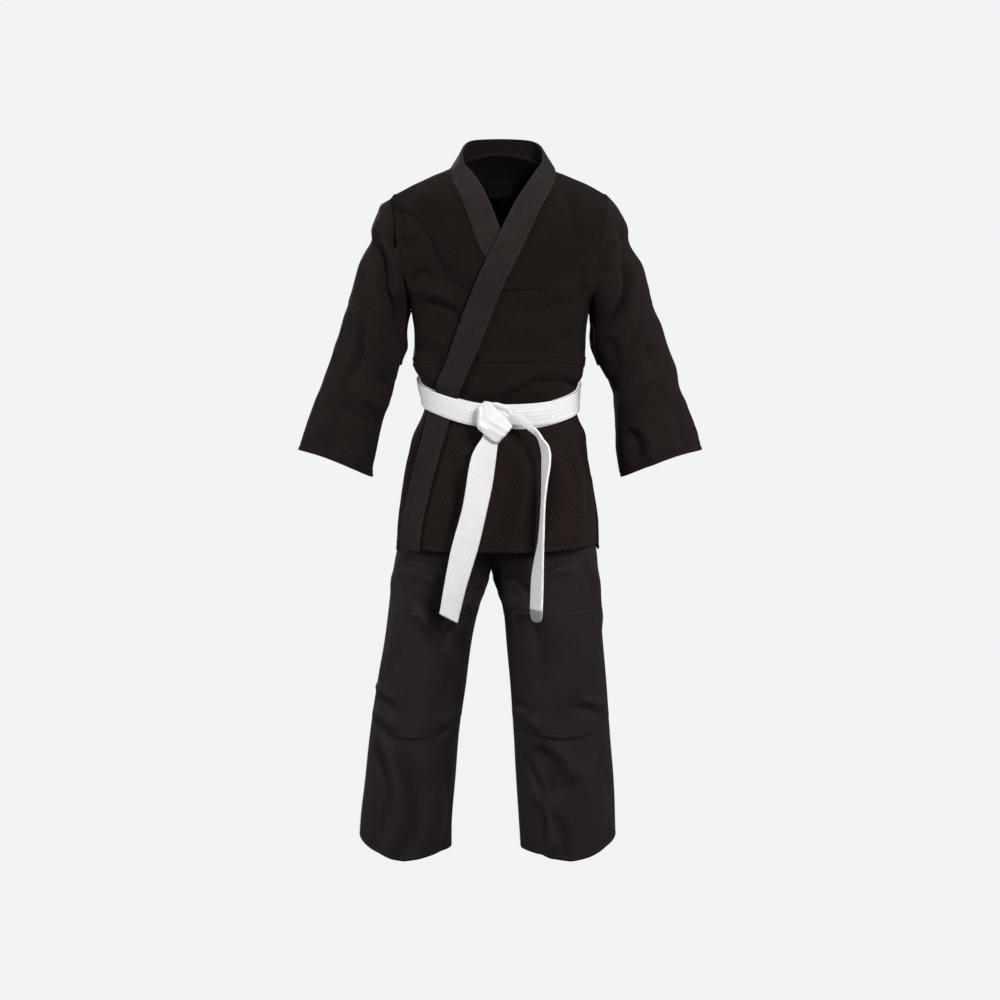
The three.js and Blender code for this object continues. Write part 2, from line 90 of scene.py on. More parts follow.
# ---------- outlines: (height, value) points, joined by a smooth curve ----------
BODY_HALF_WIDTH = millimetres([
    (595, 188), (640, 187), (700, 181), (740, 175.5), (790, 165.5), (815, 159.5), (845, 148), (865, 141.5),
    (885, 139.5), (923, 149), (969, 160), (1015, 162), (1040, 165.5), (1060, 171), (1100, 197),
    (1140, 212), (1370, 219),
])
BODY_EDGE = millimetres([
    (1055, 169), (1120, 181), (1200, 191), (1272, 198),
])
FRONT_DEPTH = millimetres([
    (595, 124), (700, 114), (800, 103), (870, 99), (920, 111), (1060, 119), (1200, 116), (1370, 112),
])
BACK_DEPTH = millimetres([
    (595, 134), (700, 121), (800, 104), (900, 98), (970, 108), (1060, 117), (1370, 114),
])
SHOULDER_LINE = millimetres([
    (0, 1319), (80, 1316), (110, 1305.5), (137.5, 1294), (165, 1281.5), (185, 1270.5), (205, 1259.5),
])
OUTER_LAPEL_LINE = millimetres([
    (595, -165.5), (646, -161.5), (718, -146.5), (795, -126.5), (870, -105), (1009, -54), (1106, -16),
    (1174, 18), (1240, 50), (1306, 88), (1330, 96),
])
UNDER_LAPEL_LINE = millimetres([
    (595, 60), (795, 96), (870, 92), (1009, 50), (1146, 2), (1182, -18), (1225, -34), (1273, -56),
    (1306, -77), (1330, -86),
])
LAPEL_HALF_WIDTH = millimetres([
    (595, 16.5), (680, 18.5), (800, 19.5), (900, 20.8), (1020, 24.2), (1200, 24.5), (1306, 19), (1330, 16),
])
SLEEVE_OUTER = millimetres([
    (205, 1266), (228, 1240), (240, 1207), (248, 1174), (266, 1129), (302, 1014), (333, 923), (367, 832),
    (384, 787),
])
SLEEVE_INNER = {
    "left": millimetres([
        (172, 1058), (172.5, 1015), (174.5, 985), (184, 958), (195.7, 935), (209, 912), (216.6, 889),
        (218.5, 845), (220, 798), (226, 755), (231, 735),
    ]),
    "right": millimetres([
        (172, 1058), (174.5, 1010), (176.7, 980), (186, 958), (193.8, 935), (199.5, 912), (207, 889),
        (214.7, 866), (228, 821), (239.4, 775), (243.5, 745), (243, 735),
    ]),
}
SLEEVE_DEPTH = [(0.0, 0.066), (0.5, 0.060), (1.0, 0.052)]
LEG_OUTLINES = {
    "left": {
        "outer": millimetres([
            (0, 223.5), (100, 221.5), (148, 219), (239, 211), (331, 204), (422, 196), (490, 190),
            (550, 187), (590, 184), (700, 148), (790, 114), (862, 101),
        ]),
        "inner": millimetres([
            (0, 42), (148, 32), (239, 27), (331, 21), (422, 13), (460, 10), (490, 6), (513, -1),
            (535, -10), (560, -17),
        ]),
    },
    "right": {
        "outer": millimetres([
            (0, -272), (57, -270), (148, -260), (239, -250), (331, -236), (422, -220), (490, -211),
            (550, -204), (590, -197), (700, -162), (790, -128), (862, -115),
        ]),
        "inner": millimetres([
            (0, -95), (57, -94), (148, -87), (239, -80), (331, -67), (422, -55), (490, -40), (513, -32),
            (535, -24), (560, -17),
        ]),
    },
}


def curve(points, at):
    """A smooth curve through a few points that never overshoots them (monotone cubic)."""
    x = np.array([p[0] for p in points], float)
    y = np.array([p[1] for p in points], float)
    rise = np.diff(y) / np.diff(x)
    slope = np.empty_like(x)
    slope[0], slope[-1] = rise[0], rise[-1]
    product = rise[:-1] * rise[1:]
    total = np.where(product > 0, rise[:-1] + rise[1:], 1.0)
    slope[1:-1] = np.where(product > 0, 2 * product / total, 0.0)
    at = np.clip(np.asarray(at, float), x[0], x[-1])
    i = np.clip(np.searchsorted(x, at, side="right") - 1, 0, len(x) - 2)
    h = x[i + 1] - x[i]
    t = (at - x[i]) / h
    return (
        y[i] * (1 + 2 * t) * (1 - t) ** 2
        + h * slope[i] * t * (1 - t) ** 2
        + y[i + 1] * t * t * (3 - 2 * t)
        + h * slope[i + 1] * t * t * (t - 1)
    )


def path(points, share):
    """A point at that share of the length of a flat outline, as two arrays."""
    pts = np.array(points, float)
    length = np.concatenate([[0], np.cumsum(np.hypot(*np.diff(pts, axis=0).T))])
    length /= length[-1]
    return curve(list(zip(length, pts[:, 0])), share), curve(list(zip(length, pts[:, 1])), share)


def smooth(at, low, high):
    t = np.clip((np.asarray(at, float) - low) / (high - low), 0, 1)
    return t * t * (3 - 2 * t)


def mix(a, b, t):
    return a + (b - a) * t


def stack(x, y, z):
    return np.stack(np.broadcast_arrays(x, y, z), axis=-1).astype(float)


def unit(v):
    return v / np.maximum(np.linalg.norm(v, axis=-1, keepdims=True), 1e-12)


# ---------- folds ----------
# A fold is a rounded ridge (height above 0) or a valley (below 0) along a line on the front or back:
# (x1, z1, x2, z2, width, height), written here in millimetres.
BODY_FRONT_FOLDS = millimetres([
    (-175, 1250, -172, 1170, 14, 7), (-204, 1150, -160, 1080, 12, -14), (-190, 1160, -155, 1195, 7, 5),
    (-150, 1125, -128, 1080, 16, -6), (-160, 1090, -80, 1060, 13, 7), (-140, 1064, -68, 1030, 8, -9),
    (-132, 1052, -118, 1000, 12, -3), (-150, 1010, -95, 975, 14, 4), (-158, 985, -110, 935, 12, -5),
    (-150, 955, -120, 905, 12, 6), (-85, 1230, -60, 1130, 16, -4), (-120, 1270, -105, 1150, 16, 4),
    (213, 1180, 150, 1095, 10, 10), (200, 1150, 172, 1060, 12, -14), (150, 1128, 140, 1050, 16, -6),
    (120, 1270, 130, 1170, 12, -4), (150, 1265, 145, 1190, 12, 4), (160, 1080, 125, 1000, 16, 5),
    (160, 1035, 100, 985, 10, -5), (30, 1060, 60, 1036, 10, -4), (55, 1040, 140, 1062, 10, -4),
    (40, 1070, 135, 1085, 26, 5), (20, 1020, 110, 985, 16, 3), (2, 874, 45, 910, 6, -9),
    (40, 907, 95, 919, 6, -9), (88, 918, 150, 904, 6, -8), (10, 905, 100, 945, 14, 6),
    (90, 940, 155, 925, 12, 5), (-40, 935, -5, 900, 12, -4), (-60, 900, -20, 890, 10, 4),
])
BODY_BACK_FOLDS = millimetres([
    (-205, 1240, -185, 1090, 12, -12), (205, 1240, 185, 1090, 12, -12), (-180, 1170, -120, 1060, 14, 8),
    (180, 1170, 120, 1060, 14, 8), (-165, 1090, -80, 1000, 10, -7), (165, 1090, 80, 1000, 10, -7),
    (-140, 1020, -60, 960, 12, 6), (130, 1030, 40, 965, 12, 6), (-20, 1080, 10, 965, 14, -6),
    (30, 1120, 50, 1000, 14, 5), (-60, 1100, -45, 1000, 14, 5),
])
SKIRT_FRONT_FOLDS = millimetres([
    (62, 830, 70, 600, 10, -11), (90, 820, 106, 600, 16, 7), (30, 820, 22, 620, 16, 6),
    (-10, 810, -20, 640, 14, -5), (-60, 800, -75, 600, 18, 6), (-85, 790, -104, 610, 10, -5),
    (140, 820, 158, 640, 9, -7), (125, 820, 135, 600, 12, 5),
])
SKIRT_BACK_FOLDS = millimetres([
    (-80, 890, -100, 600, 16, 8), (-45, 880, -52, 600, 14, -6), (80, 890, 95, 600, 16, 8),
    (40, 880, 50, 600, 14, -6), (0, 880, 4, 600, 14, 5), (-140, 860, -160, 600, 12, -6),
    (140, 860, 158, 600, 12, -6),
])
SLEEVE_LEFT_FOLDS = millimetres([
    (224, 1205, 232, 1110, 11, -14), (240, 1130, 184, 1012, 12, -18), (222, 1185, 190, 1130, 9, 10),
    (230, 1125, 188, 1035, 6, 8), (262, 1160, 240, 1020, 18, 4), (200, 1000, 215, 930, 14, -7),
    (262, 1080, 225, 960, 9, -6), (290, 1040, 325, 900, 16, 6), (270, 990, 290, 870, 14, -5),
    (228, 905, 300, 985, 12, -6), (224, 870, 310, 935, 13, 6), (226, 835, 290, 880, 10, -5),
    (240, 828, 262, 765, 13, -10), (262, 840, 285, 750, 12, 6), (320, 880, 340, 780, 16, -5),
    (345, 890, 366, 790, 14, 4),
])
SLEEVE_RIGHT_FOLDS = millimetres([
    (-203, 1262, -205, 1150, 8, -13), (-218, 1250, -220, 1180, 9, 7), (-240, 1190, -214, 1085, 12, -15),
    (-220, 1100, -188, 975, 12, -16), (-222, 1185, -192, 1060, 10, 10), (-258, 1150, -232, 1000, 16, 4),
    (-271, 1075, -308, 900, 7, 7), (-260, 1065, -294, 900, 9, -6), (-240, 1020, -270, 850, 18, 5),
    (-208, 905, -260, 985, 12, -6), (-215, 870, -290, 930, 13, 6), (-228, 835, -300, 880, 12, -5),
    (-255, 860, -275, 760, 16, 5), (-300, 880, -325, 780, 16, -5), (-335, 890, -356, 800, 14, 4),
])
LEG_LEFT_FOLDS = millimetres([
    (70, 560, 160, 594, 11, -8), (60, 545, 150, 570, 11, 6), (10, 550, 60, 500, 12, -8),
    (5, 520, 45, 470, 12, 6), (165, 590, 180, 420, 8, 6), (152, 590, 168, 420, 10, -5),
    (55, 480, 66, 320, 16, -6), (110, 500, 125, 300, 30, 6), (28, 310, 60, 275, 8, -5),
    (35, 296, 75, 258, 8, 5), (140, 305, 200, 272, 8, -5), (155, 320, 205, 292, 8, 4),
    (72, 225, 112, 130, 15, -12), (100, 232, 140, 160, 14, 8), (48, 200, 78, 5, 8, -8),
    (62, 150, 98, 0, 10, 8), (98, 100, 130, 0, 8, -6), (150, 200, 165, 0, 20, 7),
    (190, 200, 200, 20, 12, -5),
])
LEG_RIGHT_FOLDS = millimetres([
    (-170, 500, -85, 360, 12, 8), (-150, 510, -65, 380, 12, -7), (-110, 420, -45, 485, 10, -6),
    (-100, 450, -40, 520, 10, 6), (-190, 580, -110, 560, 10, -7), (-185, 565, -115, 540, 10, 5),
    (-206, 560, -222, 360, 8, 6), (-192, 560, -206, 360, 10, -5), (-238, 335, -200, 318, 7, 5),
    (-236, 318, -196, 290, 7, -6), (-240, 290, -196, 262, 7, 6), (-240, 272, -205, 236, 8, -5),
    (-85, 300, -115, 270, 7, 5), (-82, 282, -120, 245, 7, -6), (-105, 450, -112, 300, 12, -5),
    (-228, 260, -208, 5, 10, 9), (-245, 250, -232, 20, 10, -8), (-190, 200, -185, 0, 14, -6),
    (-150, 230, -160, 0, 20, 7), (-112, 200, -118, 0, 10, -6),
])


FOLD_DEPTH = 1.18


def fold_height(folds, x, z):
    total = np.zeros(np.broadcast(x, z).shape)
    for x1, z1, x2, z2, width, height in folds:
        dx, dz = x2 - x1, z2 - z1
        length = math.hypot(dx, dz)
        t = ((x - x1) * dx + (z - z1) * dz) / length**2
        bow = 0.10 * length * np.sin(np.pi * np.clip(t, 0, 1))
        side = ((x - x1) * dz - (z - z1) * dx) / length + bow
        ends = smooth(t, -0.12, 0.22) * (1 - smooth(t, 0.70, 1.12))
        total += FOLD_DEPTH * height * ends * np.exp(-((np.abs(side) / width) ** 1.6))
    return total


def ripple(x, y, z, size, seed):
    """Soft uneven cloth: a few crossed waves, the same every time."""
    rng = np.random.default_rng(seed)
    total = 0
    for _ in range(9):
        way = unit(rng.normal(size=3)) / size * rng.uniform(0.5, 1.8)
        total = total + np.sin((x * way[0] + y * way[1] + z * way[2]) * 2 * np.pi + rng.uniform(0, 6.3))
    return total / 9


# ---------- jacket body surface ----------
def shoulder_z(x):
    return curve(SHOULDER_LINE, np.abs(x))


def nape_rise(x):
    """How far the back panels rise at the neck, to meet the collar."""
    return 0.0275 * np.maximum(1 - (x / 0.098) ** 2, 0)


def crown(x, z, front):
    nape = np.where(front, 0.0, 0.050 * np.maximum(1 - (x / 0.1) ** 2, 0))
    rise = np.clip((z - CHEST_CROWN_Z) / (shoulder_z(x) + nape - CHEST_CROWN_Z), 0, 1)
    return np.sqrt(np.maximum(1 - rise * rise, 0))


def lean(z):
    """The skirt hangs a little towards the wearer's right."""
    return -0.004 * (1 - smooth(z, 0.60, 0.80))


def body_plain(angle, z):
    """Angle 0 is the middle of the front, plus and minus pi the middle of the back."""
    s, c = np.sin(angle), np.cos(angle)
    front = c > 0
    depth = np.where(front, curve(FRONT_DEPTH, z), curve(BACK_DEPTH, z))
    x = curve(BODY_HALF_WIDTH, z) * np.sign(s) * np.abs(s) ** 0.9
    y = -np.sign(c) * depth * np.abs(c) ** 0.8 * crown(x, z, front)
    return stack(x + lean(z), y + MID_Y, z)


def angle_at(x, z, front=True):
    x = x - lean(z)
    share = np.clip(np.abs(x) / curve(BODY_HALF_WIDTH, z), 0, 1)
    turn = np.sign(x) * np.arcsin(share ** (1 / 0.9))
    if front:
        return turn
    return np.where(turn >= 0, np.pi - turn, -np.pi - turn)


def between(start, end, z, front, u):
    """Angles from x = start to x = end, over the front or round the back."""
    first, last = angle_at(start, z, front), angle_at(end, z, front)
    if not front:
        last = np.where(last < first, last + 2 * np.pi, last)
    return mix(first, last, u)


def normals(surface, a, b, da=1e-4, db=1e-4):
    across = surface(a + da, b) - surface(a - da, b)
    up = surface(a, b + db) - surface(a, b - db)
    return unit(np.cross(across, up))


def belt_z(point):
    """The height of the belt's middle line, which rises towards the back and the wearer's right."""
    x, y = point[..., 0], point[..., 1]
    at_right = 0.0145 * smooth(-x, 0.02, 0.14) + 0.002 * smooth(x, 0.08, 0.13)
    return 0.857 + 0.3 * (y - MID_Y + 0.0995) + at_right * (1 - smooth(y, MID_Y, MID_Y + 0.08))


def body_relief(point):
    x, y, z = point[..., 0], point[..., 1], point[..., 2]
    front = 1 - smooth(y, MID_Y - 0.02, MID_Y + 0.02)
    relief = fold_height(BODY_FRONT_FOLDS, x, z) * front + fold_height(BODY_BACK_FOLDS, x, z) * (1 - front)
    skirt = 1 - smooth(z, SKIRT_TOP_Z - 0.02, SKIRT_TOP_Z + 0.03)
    hang = fold_height(SKIRT_FRONT_FOLDS, x, z) * front + fold_height(SKIRT_BACK_FOLDS, x, z) * (1 - front)
    blouse = (0.006 - 0.003 * smooth(x, 0.09, 0.14)) * np.exp(-(((z - belt_z(point) - 0.052) / 0.023) ** 2))
    uneven = 0.0022 * ripple(x, y, z, 0.11, 3) + 0.0007 * ripple(x, y, z, 0.04, 4)
    edge = side_x(z)
    sewn = 1 - smooth(np.abs(x), edge - 0.026, edge - 0.004) * smooth(z, 1.0, 1.045)
    return (relief * (1 - skirt) + hang * skirt + blouse) * sewn + uneven


def body(angle, z, lift=0.0):
    """A point on the jacket with its folds, lifted off its middle surface along the normal."""
    point = body_plain(angle, z)
    limit = shoulder_z(point[..., 0]) + np.where(np.cos(angle) < 0, nape_rise(point[..., 0]), 0.0) - 0.002
    normal = normals(body_plain, angle, np.minimum(z, limit))
    lift = lift(point) if callable(lift) else lift
    return point + normal * np.asarray(lift + body_relief(point))[..., None]


def under_lift(point):
    """The right front lies inside the left one, but meets the back panel and the sleeve at its seams."""
    x, z = point[..., 0], point[..., 2]
    at_side = smooth(x, -side_x(z) + 0.004, -side_x(z) + 0.050)
    return UNDER * at_side * (1 - smooth(z, 1.215, 1.275))


def side_x(z):
    return np.where(z < 1.052, curve(BODY_HALF_WIDTH, z), curve(BODY_EDGE, z))


# ---------- mesh builders ----------
def grid_mesh(outer, inner):
    """Vertices and quads of a closed sheet between two grids of points."""
    rows, cols = outer.shape[:2]
    count = rows * cols
    points = np.concatenate([outer.reshape(-1, 3), inner.reshape(-1, 3)])
    index = np.arange(count).reshape(rows, cols)
    a, b, c, d = index[:-1, :-1], index[:-1, 1:], index[1:, 1:], index[1:, :-1]
    top = np.stack([a, b, c, d], -1).reshape(-1, 4)
    faces = [top, top[:, ::-1] + count]
    for edge in (index[0], index[-1][::-1], index[:, -1], index[::-1, 0]):
        faces.append(np.stack([edge[1:], edge[:-1], edge[:-1] + count, edge[1:] + count], -1))
    return points, np.concatenate(faces)


class Cloth:
    """Gathers the sheets, seams and stitches of one piece, then makes one object of them."""

    def __init__(self, name, material):
        self.name = name
        self.materials = [material]
        self.points, self.faces, self.uvs, self.slots = [], [], [], []
        self.count = 0

    def add(self, points, faces, uv, material=None):
        """Parts of the first material need no material named."""
        if material is not None and material not in self.materials:
            self.materials.append(material)
        slot = self.materials.index(material) if material is not None else 0
        self.points.append(points)
        self.faces.append(faces + self.count)
        self.uvs.append(uv)
        self.slots.append(np.full(len(faces), slot))
        self.count += len(points)

    def sheet(self, surface, thickness, nu, nv, relief=None, hems="", inside=None):
        """surface(u, v) gives points for arrays from 0 to 1.

        hems names the edges that are rolled, out of l r b t; inside is another material for the hidden face.
        """
        uu, vv = np.meshgrid(np.linspace(0, 1, nu + 1), np.linspace(0, 1, nv + 1))
        middle = surface(uu, vv)
        normal = unit(np.cross(np.gradient(middle, axis=1), np.gradient(middle, axis=0)))
        along_u = arc(middle[(nv + 1) // 2])
        along_v = arc(middle[:, (nu + 1) // 2])
        half = np.full(uu.shape, thickness / 2)
        du, dv = np.meshgrid(along_u, along_v)
        for edge, away in (("l", du), ("r", along_u[-1] - du), ("b", dv), ("t", along_v[-1] - dv)):
            if edge in hems:
                rolled = (1 - smooth(away, 0.004, 0.008)) * smooth(away, -0.001, 0.002)
                half = half + thickness * 0.45 * rolled
        rise = relief(middle, uu, vv) if relief is not None else 0.0
        outer = middle + normal * (half + rise)[..., None]
        inner = middle - normal * (half - rise)[..., None]
        points, faces = grid_mesh(outer, inner)
        flat = np.stack([du, dv], -1).reshape(-1, 2)
        self.add(points, faces, np.concatenate([flat, flat]))
        if inside is not None:
            self.materials.append(inside)
            quads = nu * nv
            self.slots[-1][quads : 2 * quads] = len(self.materials) - 1
        return self

    def stitches(self, line, normal, material, pitch=STITCH, radius=0.00036):
        """Small rounded stitches along a line of points, lying on the cloth whose normals are given."""
        length = arc(line)
        count = int(length[-1] / pitch)
        if count < 1:
            return self
        starts = (np.arange(count) + 0.5) * (length[-1] / count)
        here = np.stack([np.interp(starts, length, line[:, k]) for k in range(3)], -1)
        up = unit(np.stack([np.interp(starts, length, normal[:, k]) for k in range(3)], -1))
        after = np.stack([np.interp(starts + 1e-4, length, line[:, k]) for k in range(3)], -1)
        ahead = unit(after - here + 1e-12)
        side = unit(np.cross(up, ahead))
        half = pitch * 0.34
        ring = [(-1, 0, -0.4), (-0.5, 1, 0.5), (0.5, 1, 0.5), (1, 0, -0.4), (0.5, -1, 0.5), (-0.5, -1, 0.5)]
        corner = [here + ahead * (half * a) + side * (radius * b) + up * (radius * c) for a, b, c in ring]
        corner += [here + up * (radius * 1.3), here - up * (radius * 0.6)]
        points = np.stack(corner, 1).reshape(-1, 3)
        base = (np.arange(count) * 8)[:, None]
        faces = []
        for i in range(6):
            j = (i + 1) % 6
            faces.append(np.stack([base[:, 0] + i, base[:, 0] + 6, base[:, 0] + j, base[:, 0] + j], -1))
            faces.append(np.stack([base[:, 0] + j, base[:, 0] + 7, base[:, 0] + i, base[:, 0] + i], -1))
        uv = np.repeat(np.stack([starts, np.zeros(count)], -1), 8, axis=0)
        self.add(points, np.concatenate(faces), uv, material)
        return self

    def seam(self, surface, u, v, lift, material, pitch=STITCH):
        """Stitches along a line of (u, v) on a surface, lifted to its face."""
        line = surface(u, v)
        step = 2e-3
        across = surface(np.clip(u + step, 0, 1), v) - surface(np.clip(u - step, 0, 1), v)
        up = surface(u, np.clip(v + step, 0, 1)) - surface(u, np.clip(v - step, 0, 1))
        normal = unit(np.cross(across, up))
        return self.stitches(line + normal * lift, normal, material, pitch)

    def build(self):
        points = np.concatenate(self.points)
        faces = np.concatenate(self.faces)
        uv = np.concatenate(self.uvs)
        triangles = faces[:, 2] == faces[:, 3]
        loops = np.where(np.arange(4)[None, :] < np.where(triangles, 3, 4)[:, None], faces, -1).ravel()
        loops = loops[loops >= 0]
        sizes = np.where(triangles, 3, 4)
        mesh = bpy.data.meshes.new(self.name)
        mesh.vertices.add(len(points))
        mesh.vertices.foreach_set("co", points.astype(np.float32).ravel())
        mesh.loops.add(len(loops))
        mesh.loops.foreach_set("vertex_index", loops.astype(np.int32))
        mesh.polygons.add(len(faces))
        mesh.polygons.foreach_set("loop_start", np.concatenate([[0], np.cumsum(sizes)[:-1]]).astype(np.int32))
        mesh.polygons.foreach_set("material_index", np.concatenate(self.slots).astype(np.int32))
        mesh.update(calc_edges=True)
        layer = mesh.uv_layers.new(name="cloth")
        layer.data.foreach_set("uv", uv[loops].astype(np.float32).ravel())
        mesh.polygons.foreach_set("use_smooth", np.ones(len(faces), bool))
        for material in self.materials:
            mesh.materials.append(material)
        mesh.validate()
        piece = bpy.data.objects.new(self.name, mesh)
        bpy.context.scene.collection.objects.link(piece)
        return piece


def arc(line):
    steps = np.linalg.norm(np.diff(line, axis=0), axis=-1)
    return np.concatenate([[0], np.cumsum(steps)])


def place(cloth, bodies, nodes):
    """Builds the piece, fixes it to its body when it has one (otherwise bakes it in place), and hides the CAD
    nodes it stands for.
    """
    piece = cloth.build()
    if len(bodies) == 1:
        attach(piece, bodies[0])
    else:
        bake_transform(piece)
    if nodes:
        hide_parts(*nodes)
    return piece


# ---------- materials ----------
class Nodes:
    """A short way to write a node material: each call adds a node and links its inputs."""

    def __init__(self, name):
        self.material = bpy.data.materials.new(name)
        self.material.use_nodes = True
        self.tree = self.material.node_tree
        self.tree.nodes.clear()

    def add(self, kind, inputs=None, **settings):
        node = self.tree.nodes.new(kind)
        for key, value in settings.items():
            setattr(node, key, value)
        for key, value in (inputs or {}).items():
            if isinstance(value, bpy.types.NodeSocket):
                self.tree.links.new(value, node.inputs[key])
            else:
                node.inputs[key].default_value = value
        return node

    def math(self, operation, a, b=0.0, c=0.0):
        return self.add("ShaderNodeMath", {0: a, 1: b, 2: c}, operation=operation).outputs[0]

    def wave(self, value, period, shift=0.0):
        """A sine of a length, from -1 to 1."""
        return self.math("SINE", self.math("MULTIPLY_ADD", value, 2 * math.pi / period, shift))


def weave_height(n, kind, u, v):
    """The height of the weave, about 0 to 1, from metres across (u) and along (v) the cloth."""
    if kind == "pearl":
        bumps = n.math("MULTIPLY", n.wave(u, 0.0052), n.wave(v, 0.0036))
        return n.math("MULTIPLY_ADD", bumps, 0.5, 0.5)
    if kind == "diamond":
        rising = n.math("MULTIPLY_ADD", v, 0.62, n.math("MULTIPLY", u, 1.0))
        falling = n.math("MULTIPLY_ADD", v, -0.62, n.math("MULTIPLY", u, 1.0))
        lines = n.math("MAXIMUM", n.wave(rising, 0.0095), n.wave(falling, 0.0095))
        fine = n.math("MULTIPLY", n.wave(u, 0.0026), n.wave(v, 0.0022))
        return n.math("MULTIPLY_ADD", fine, 0.22, n.math("MULTIPLY_ADD", lines, -0.4, 0.6))
    if kind == "rib":
        return n.math("MULTIPLY_ADD", n.wave(v, 0.0024), 0.5, 0.5)
    if kind == "facing":
        return n.math("MULTIPLY_ADD", n.wave(u, 0.0042), 0.5, 0.5)
    if kind == "band":
        rows = n.math("MULTIPLY_ADD", n.wave(v, 0.0031), 0.26, 0.5)
        return n.math("MULTIPLY_ADD", n.wave(u, 0.0011), 0.18, rows)
    slant = n.math("ADD", n.math("MULTIPLY", u, 1.0), n.math("MULTIPLY", v, 0.8))
    return n.math("MULTIPLY_ADD", n.wave(slant, 0.0017), 0.5, 0.5)


def cloth_material(name, colour, kind, bump=0.5, rough=0.9, sheen=0.02, worn=0.35, fade=0.22, specular=0.06,
                   grain=0.9):
    """Cotton: weave relief with its hollows painted darker as painted shade, uneven dye, fibre noise, and
    lighter worn edges.
    """
    n = Nodes(name)
    uv = n.add("ShaderNodeSeparateXYZ", {0: n.add("ShaderNodeUVMap", uv_map="cloth").outputs[0]})
    space = n.add("ShaderNodeTexCoord").outputs["Object"]
    fibre = n.add("ShaderNodeTexNoise", {"Vector": space, "Scale": 900.0, "Detail": 2.0}).outputs["Fac"]
    patch = n.add("ShaderNodeTexNoise", {"Vector": space, "Scale": 9.0, "Detail": 4.0}).outputs["Fac"]
    slub = n.add("ShaderNodeTexNoise", {"Vector": space, "Scale": 60.0, "Detail": 3.0}).outputs["Fac"]
    warp_u = n.math("MULTIPLY_ADD", slub, 0.0012, uv.outputs[0])
    warp_v = n.math("MULTIPLY_ADD", slub, 0.0012, uv.outputs[1])
    height = weave_height(n, kind, warp_u, warp_v)
    total = n.math("MULTIPLY_ADD", fibre, 0.25, height)
    pointed = n.add("ShaderNodeNewGeometry").outputs["Pointiness"]
    edge = n.add("ShaderNodeMapRange", {0: pointed, 1: 0.51, 2: 0.60})
    # Painted shade: the weave's hollows are coloured darker and its raised yarns lighter, following the weave
    # height.
    shade = n.math("MULTIPLY_ADD", height, 0.62, 0.60)
    shade = n.math("MULTIPLY", shade, n.math("MULTIPLY_ADD", patch, fade * 2, 1 - fade))
    fleck = n.add("ShaderNodeTexNoise", {"Vector": space, "Scale": 230.0, "Detail": 2.0}).outputs["Fac"]
    shade = n.math("MULTIPLY", shade, n.math("MULTIPLY_ADD", fleck, grain, 1 - grain / 2))
    shade = n.math("MULTIPLY", shade, n.math("MULTIPLY_ADD", fibre, 0.30, 0.85))
    shade = n.math("MULTIPLY", shade, n.math("MULTIPLY_ADD", edge.outputs[0], worn, 1.0))
    dyed = n.add("ShaderNodeVectorMath", {0: (*colour,), "Scale": shade}, operation="SCALE")
    relief = n.add("ShaderNodeBump", {"Strength": bump, "Distance": 0.0024, "Height": total})
    roughness = n.math("MULTIPLY_ADD", patch, 0.10, rough - 0.05)
    surface = n.add("ShaderNodeBsdfPrincipled", {
        "Base Color": dyed.outputs[0], "Roughness": roughness, "Normal": relief.outputs[0],
        "Specular IOR Level": specular, "Sheen Weight": sheen, "Sheen Roughness": 0.45,
        "Sheen Tint": (*[min(1.0, 0.35 + 6 * c) for c in colour], 1.0),
    })
    n.add("ShaderNodeOutputMaterial", {"Surface": surface.outputs[0]})
    return n.material


def thread_material(name, colour):
    n = Nodes(name)
    space = n.add("ShaderNodeTexCoord").outputs["Object"]
    twist = n.add("ShaderNodeTexNoise", {"Vector": space, "Scale": 2400.0, "Detail": 1.0}).outputs["Fac"]
    shade = n.math("MULTIPLY_ADD", twist, 0.5, 0.75)
    tone = n.add("ShaderNodeVectorMath", {0: colour, "Scale": shade}, operation="SCALE")
    relief = n.add("ShaderNodeBump", {"Strength": 0.4, "Distance": 0.0003, "Height": twist})
    surface = n.add("ShaderNodeBsdfPrincipled", {
        "Base Color": tone.outputs[0], "Roughness": 0.9, "Normal": relief.outputs[0],
        "Specular IOR Level": 0.05,
    })
    n.add("ShaderNodeOutputMaterial", {"Surface": surface.outputs[0]})
    return n.material


PEARL = cloth_material("pearl_weave", (0.0108, 0.0067, 0.0060), "pearl", bump=0.55)
QUILT = cloth_material("quilted_yoke", (0.0100, 0.0062, 0.0056), "pearl", bump=0.7)
SLEEVE = cloth_material("sleeve_pearl_weave", (0.0134, 0.0088, 0.0083), "pearl", bump=0.5)
LAPEL_CLOTH = cloth_material("ribbed_lapel", (0.0190, 0.0144, 0.0136), "rib", bump=0.45, rough=0.85)
TAB_CLOTH = cloth_material("neck_tab_cotton", (0.0032, 0.0022, 0.0021), "rib", bump=0.3)
COLLAR_INSIDE = cloth_material("collar_facing", (0.0085, 0.0062, 0.0058), "facing", bump=0.5)
LINING = cloth_material("plain_lining", (0.0048, 0.0032, 0.0031), "rib", bump=0.4)
DIAMOND = cloth_material("diamond_weave", (0.0146, 0.0092, 0.0076), "diamond", bump=0.65)
TWILL_CLOTH = cloth_material("trouser_twill", (0.0117, 0.0072, 0.0068), "twill", bump=0.35, rough=0.68,
                             sheen=0.04, specular=0.14)
BELT_CLOTH = cloth_material("belt_cotton", (0.75, 0.745, 0.765), "band", bump=0.45, grain=0.08, rough=0.85,
                            sheen=0.1, worn=0.05, fade=0.05)
TIP_CLOTH = cloth_material("grey_tip_weave", (0.26, 0.25, 0.25), "band", bump=0.5, rough=0.6, sheen=0.1,
                           worn=0.2)
CORD_CLOTH = cloth_material("cord_braid", (0.62, 0.60, 0.56), "twill", grain=0.2, bump=0.8, rough=0.85,
                            sheen=0.1, worn=0.05)
LAPEL_THREAD = thread_material("lapel_thread", (0.0310, 0.0250, 0.0240))
BLACK_THREAD = thread_material("black_thread", (0.0125, 0.0085, 0.0080))
WHITE_THREAD = thread_material("white_thread", (0.50, 0.50, 0.52))


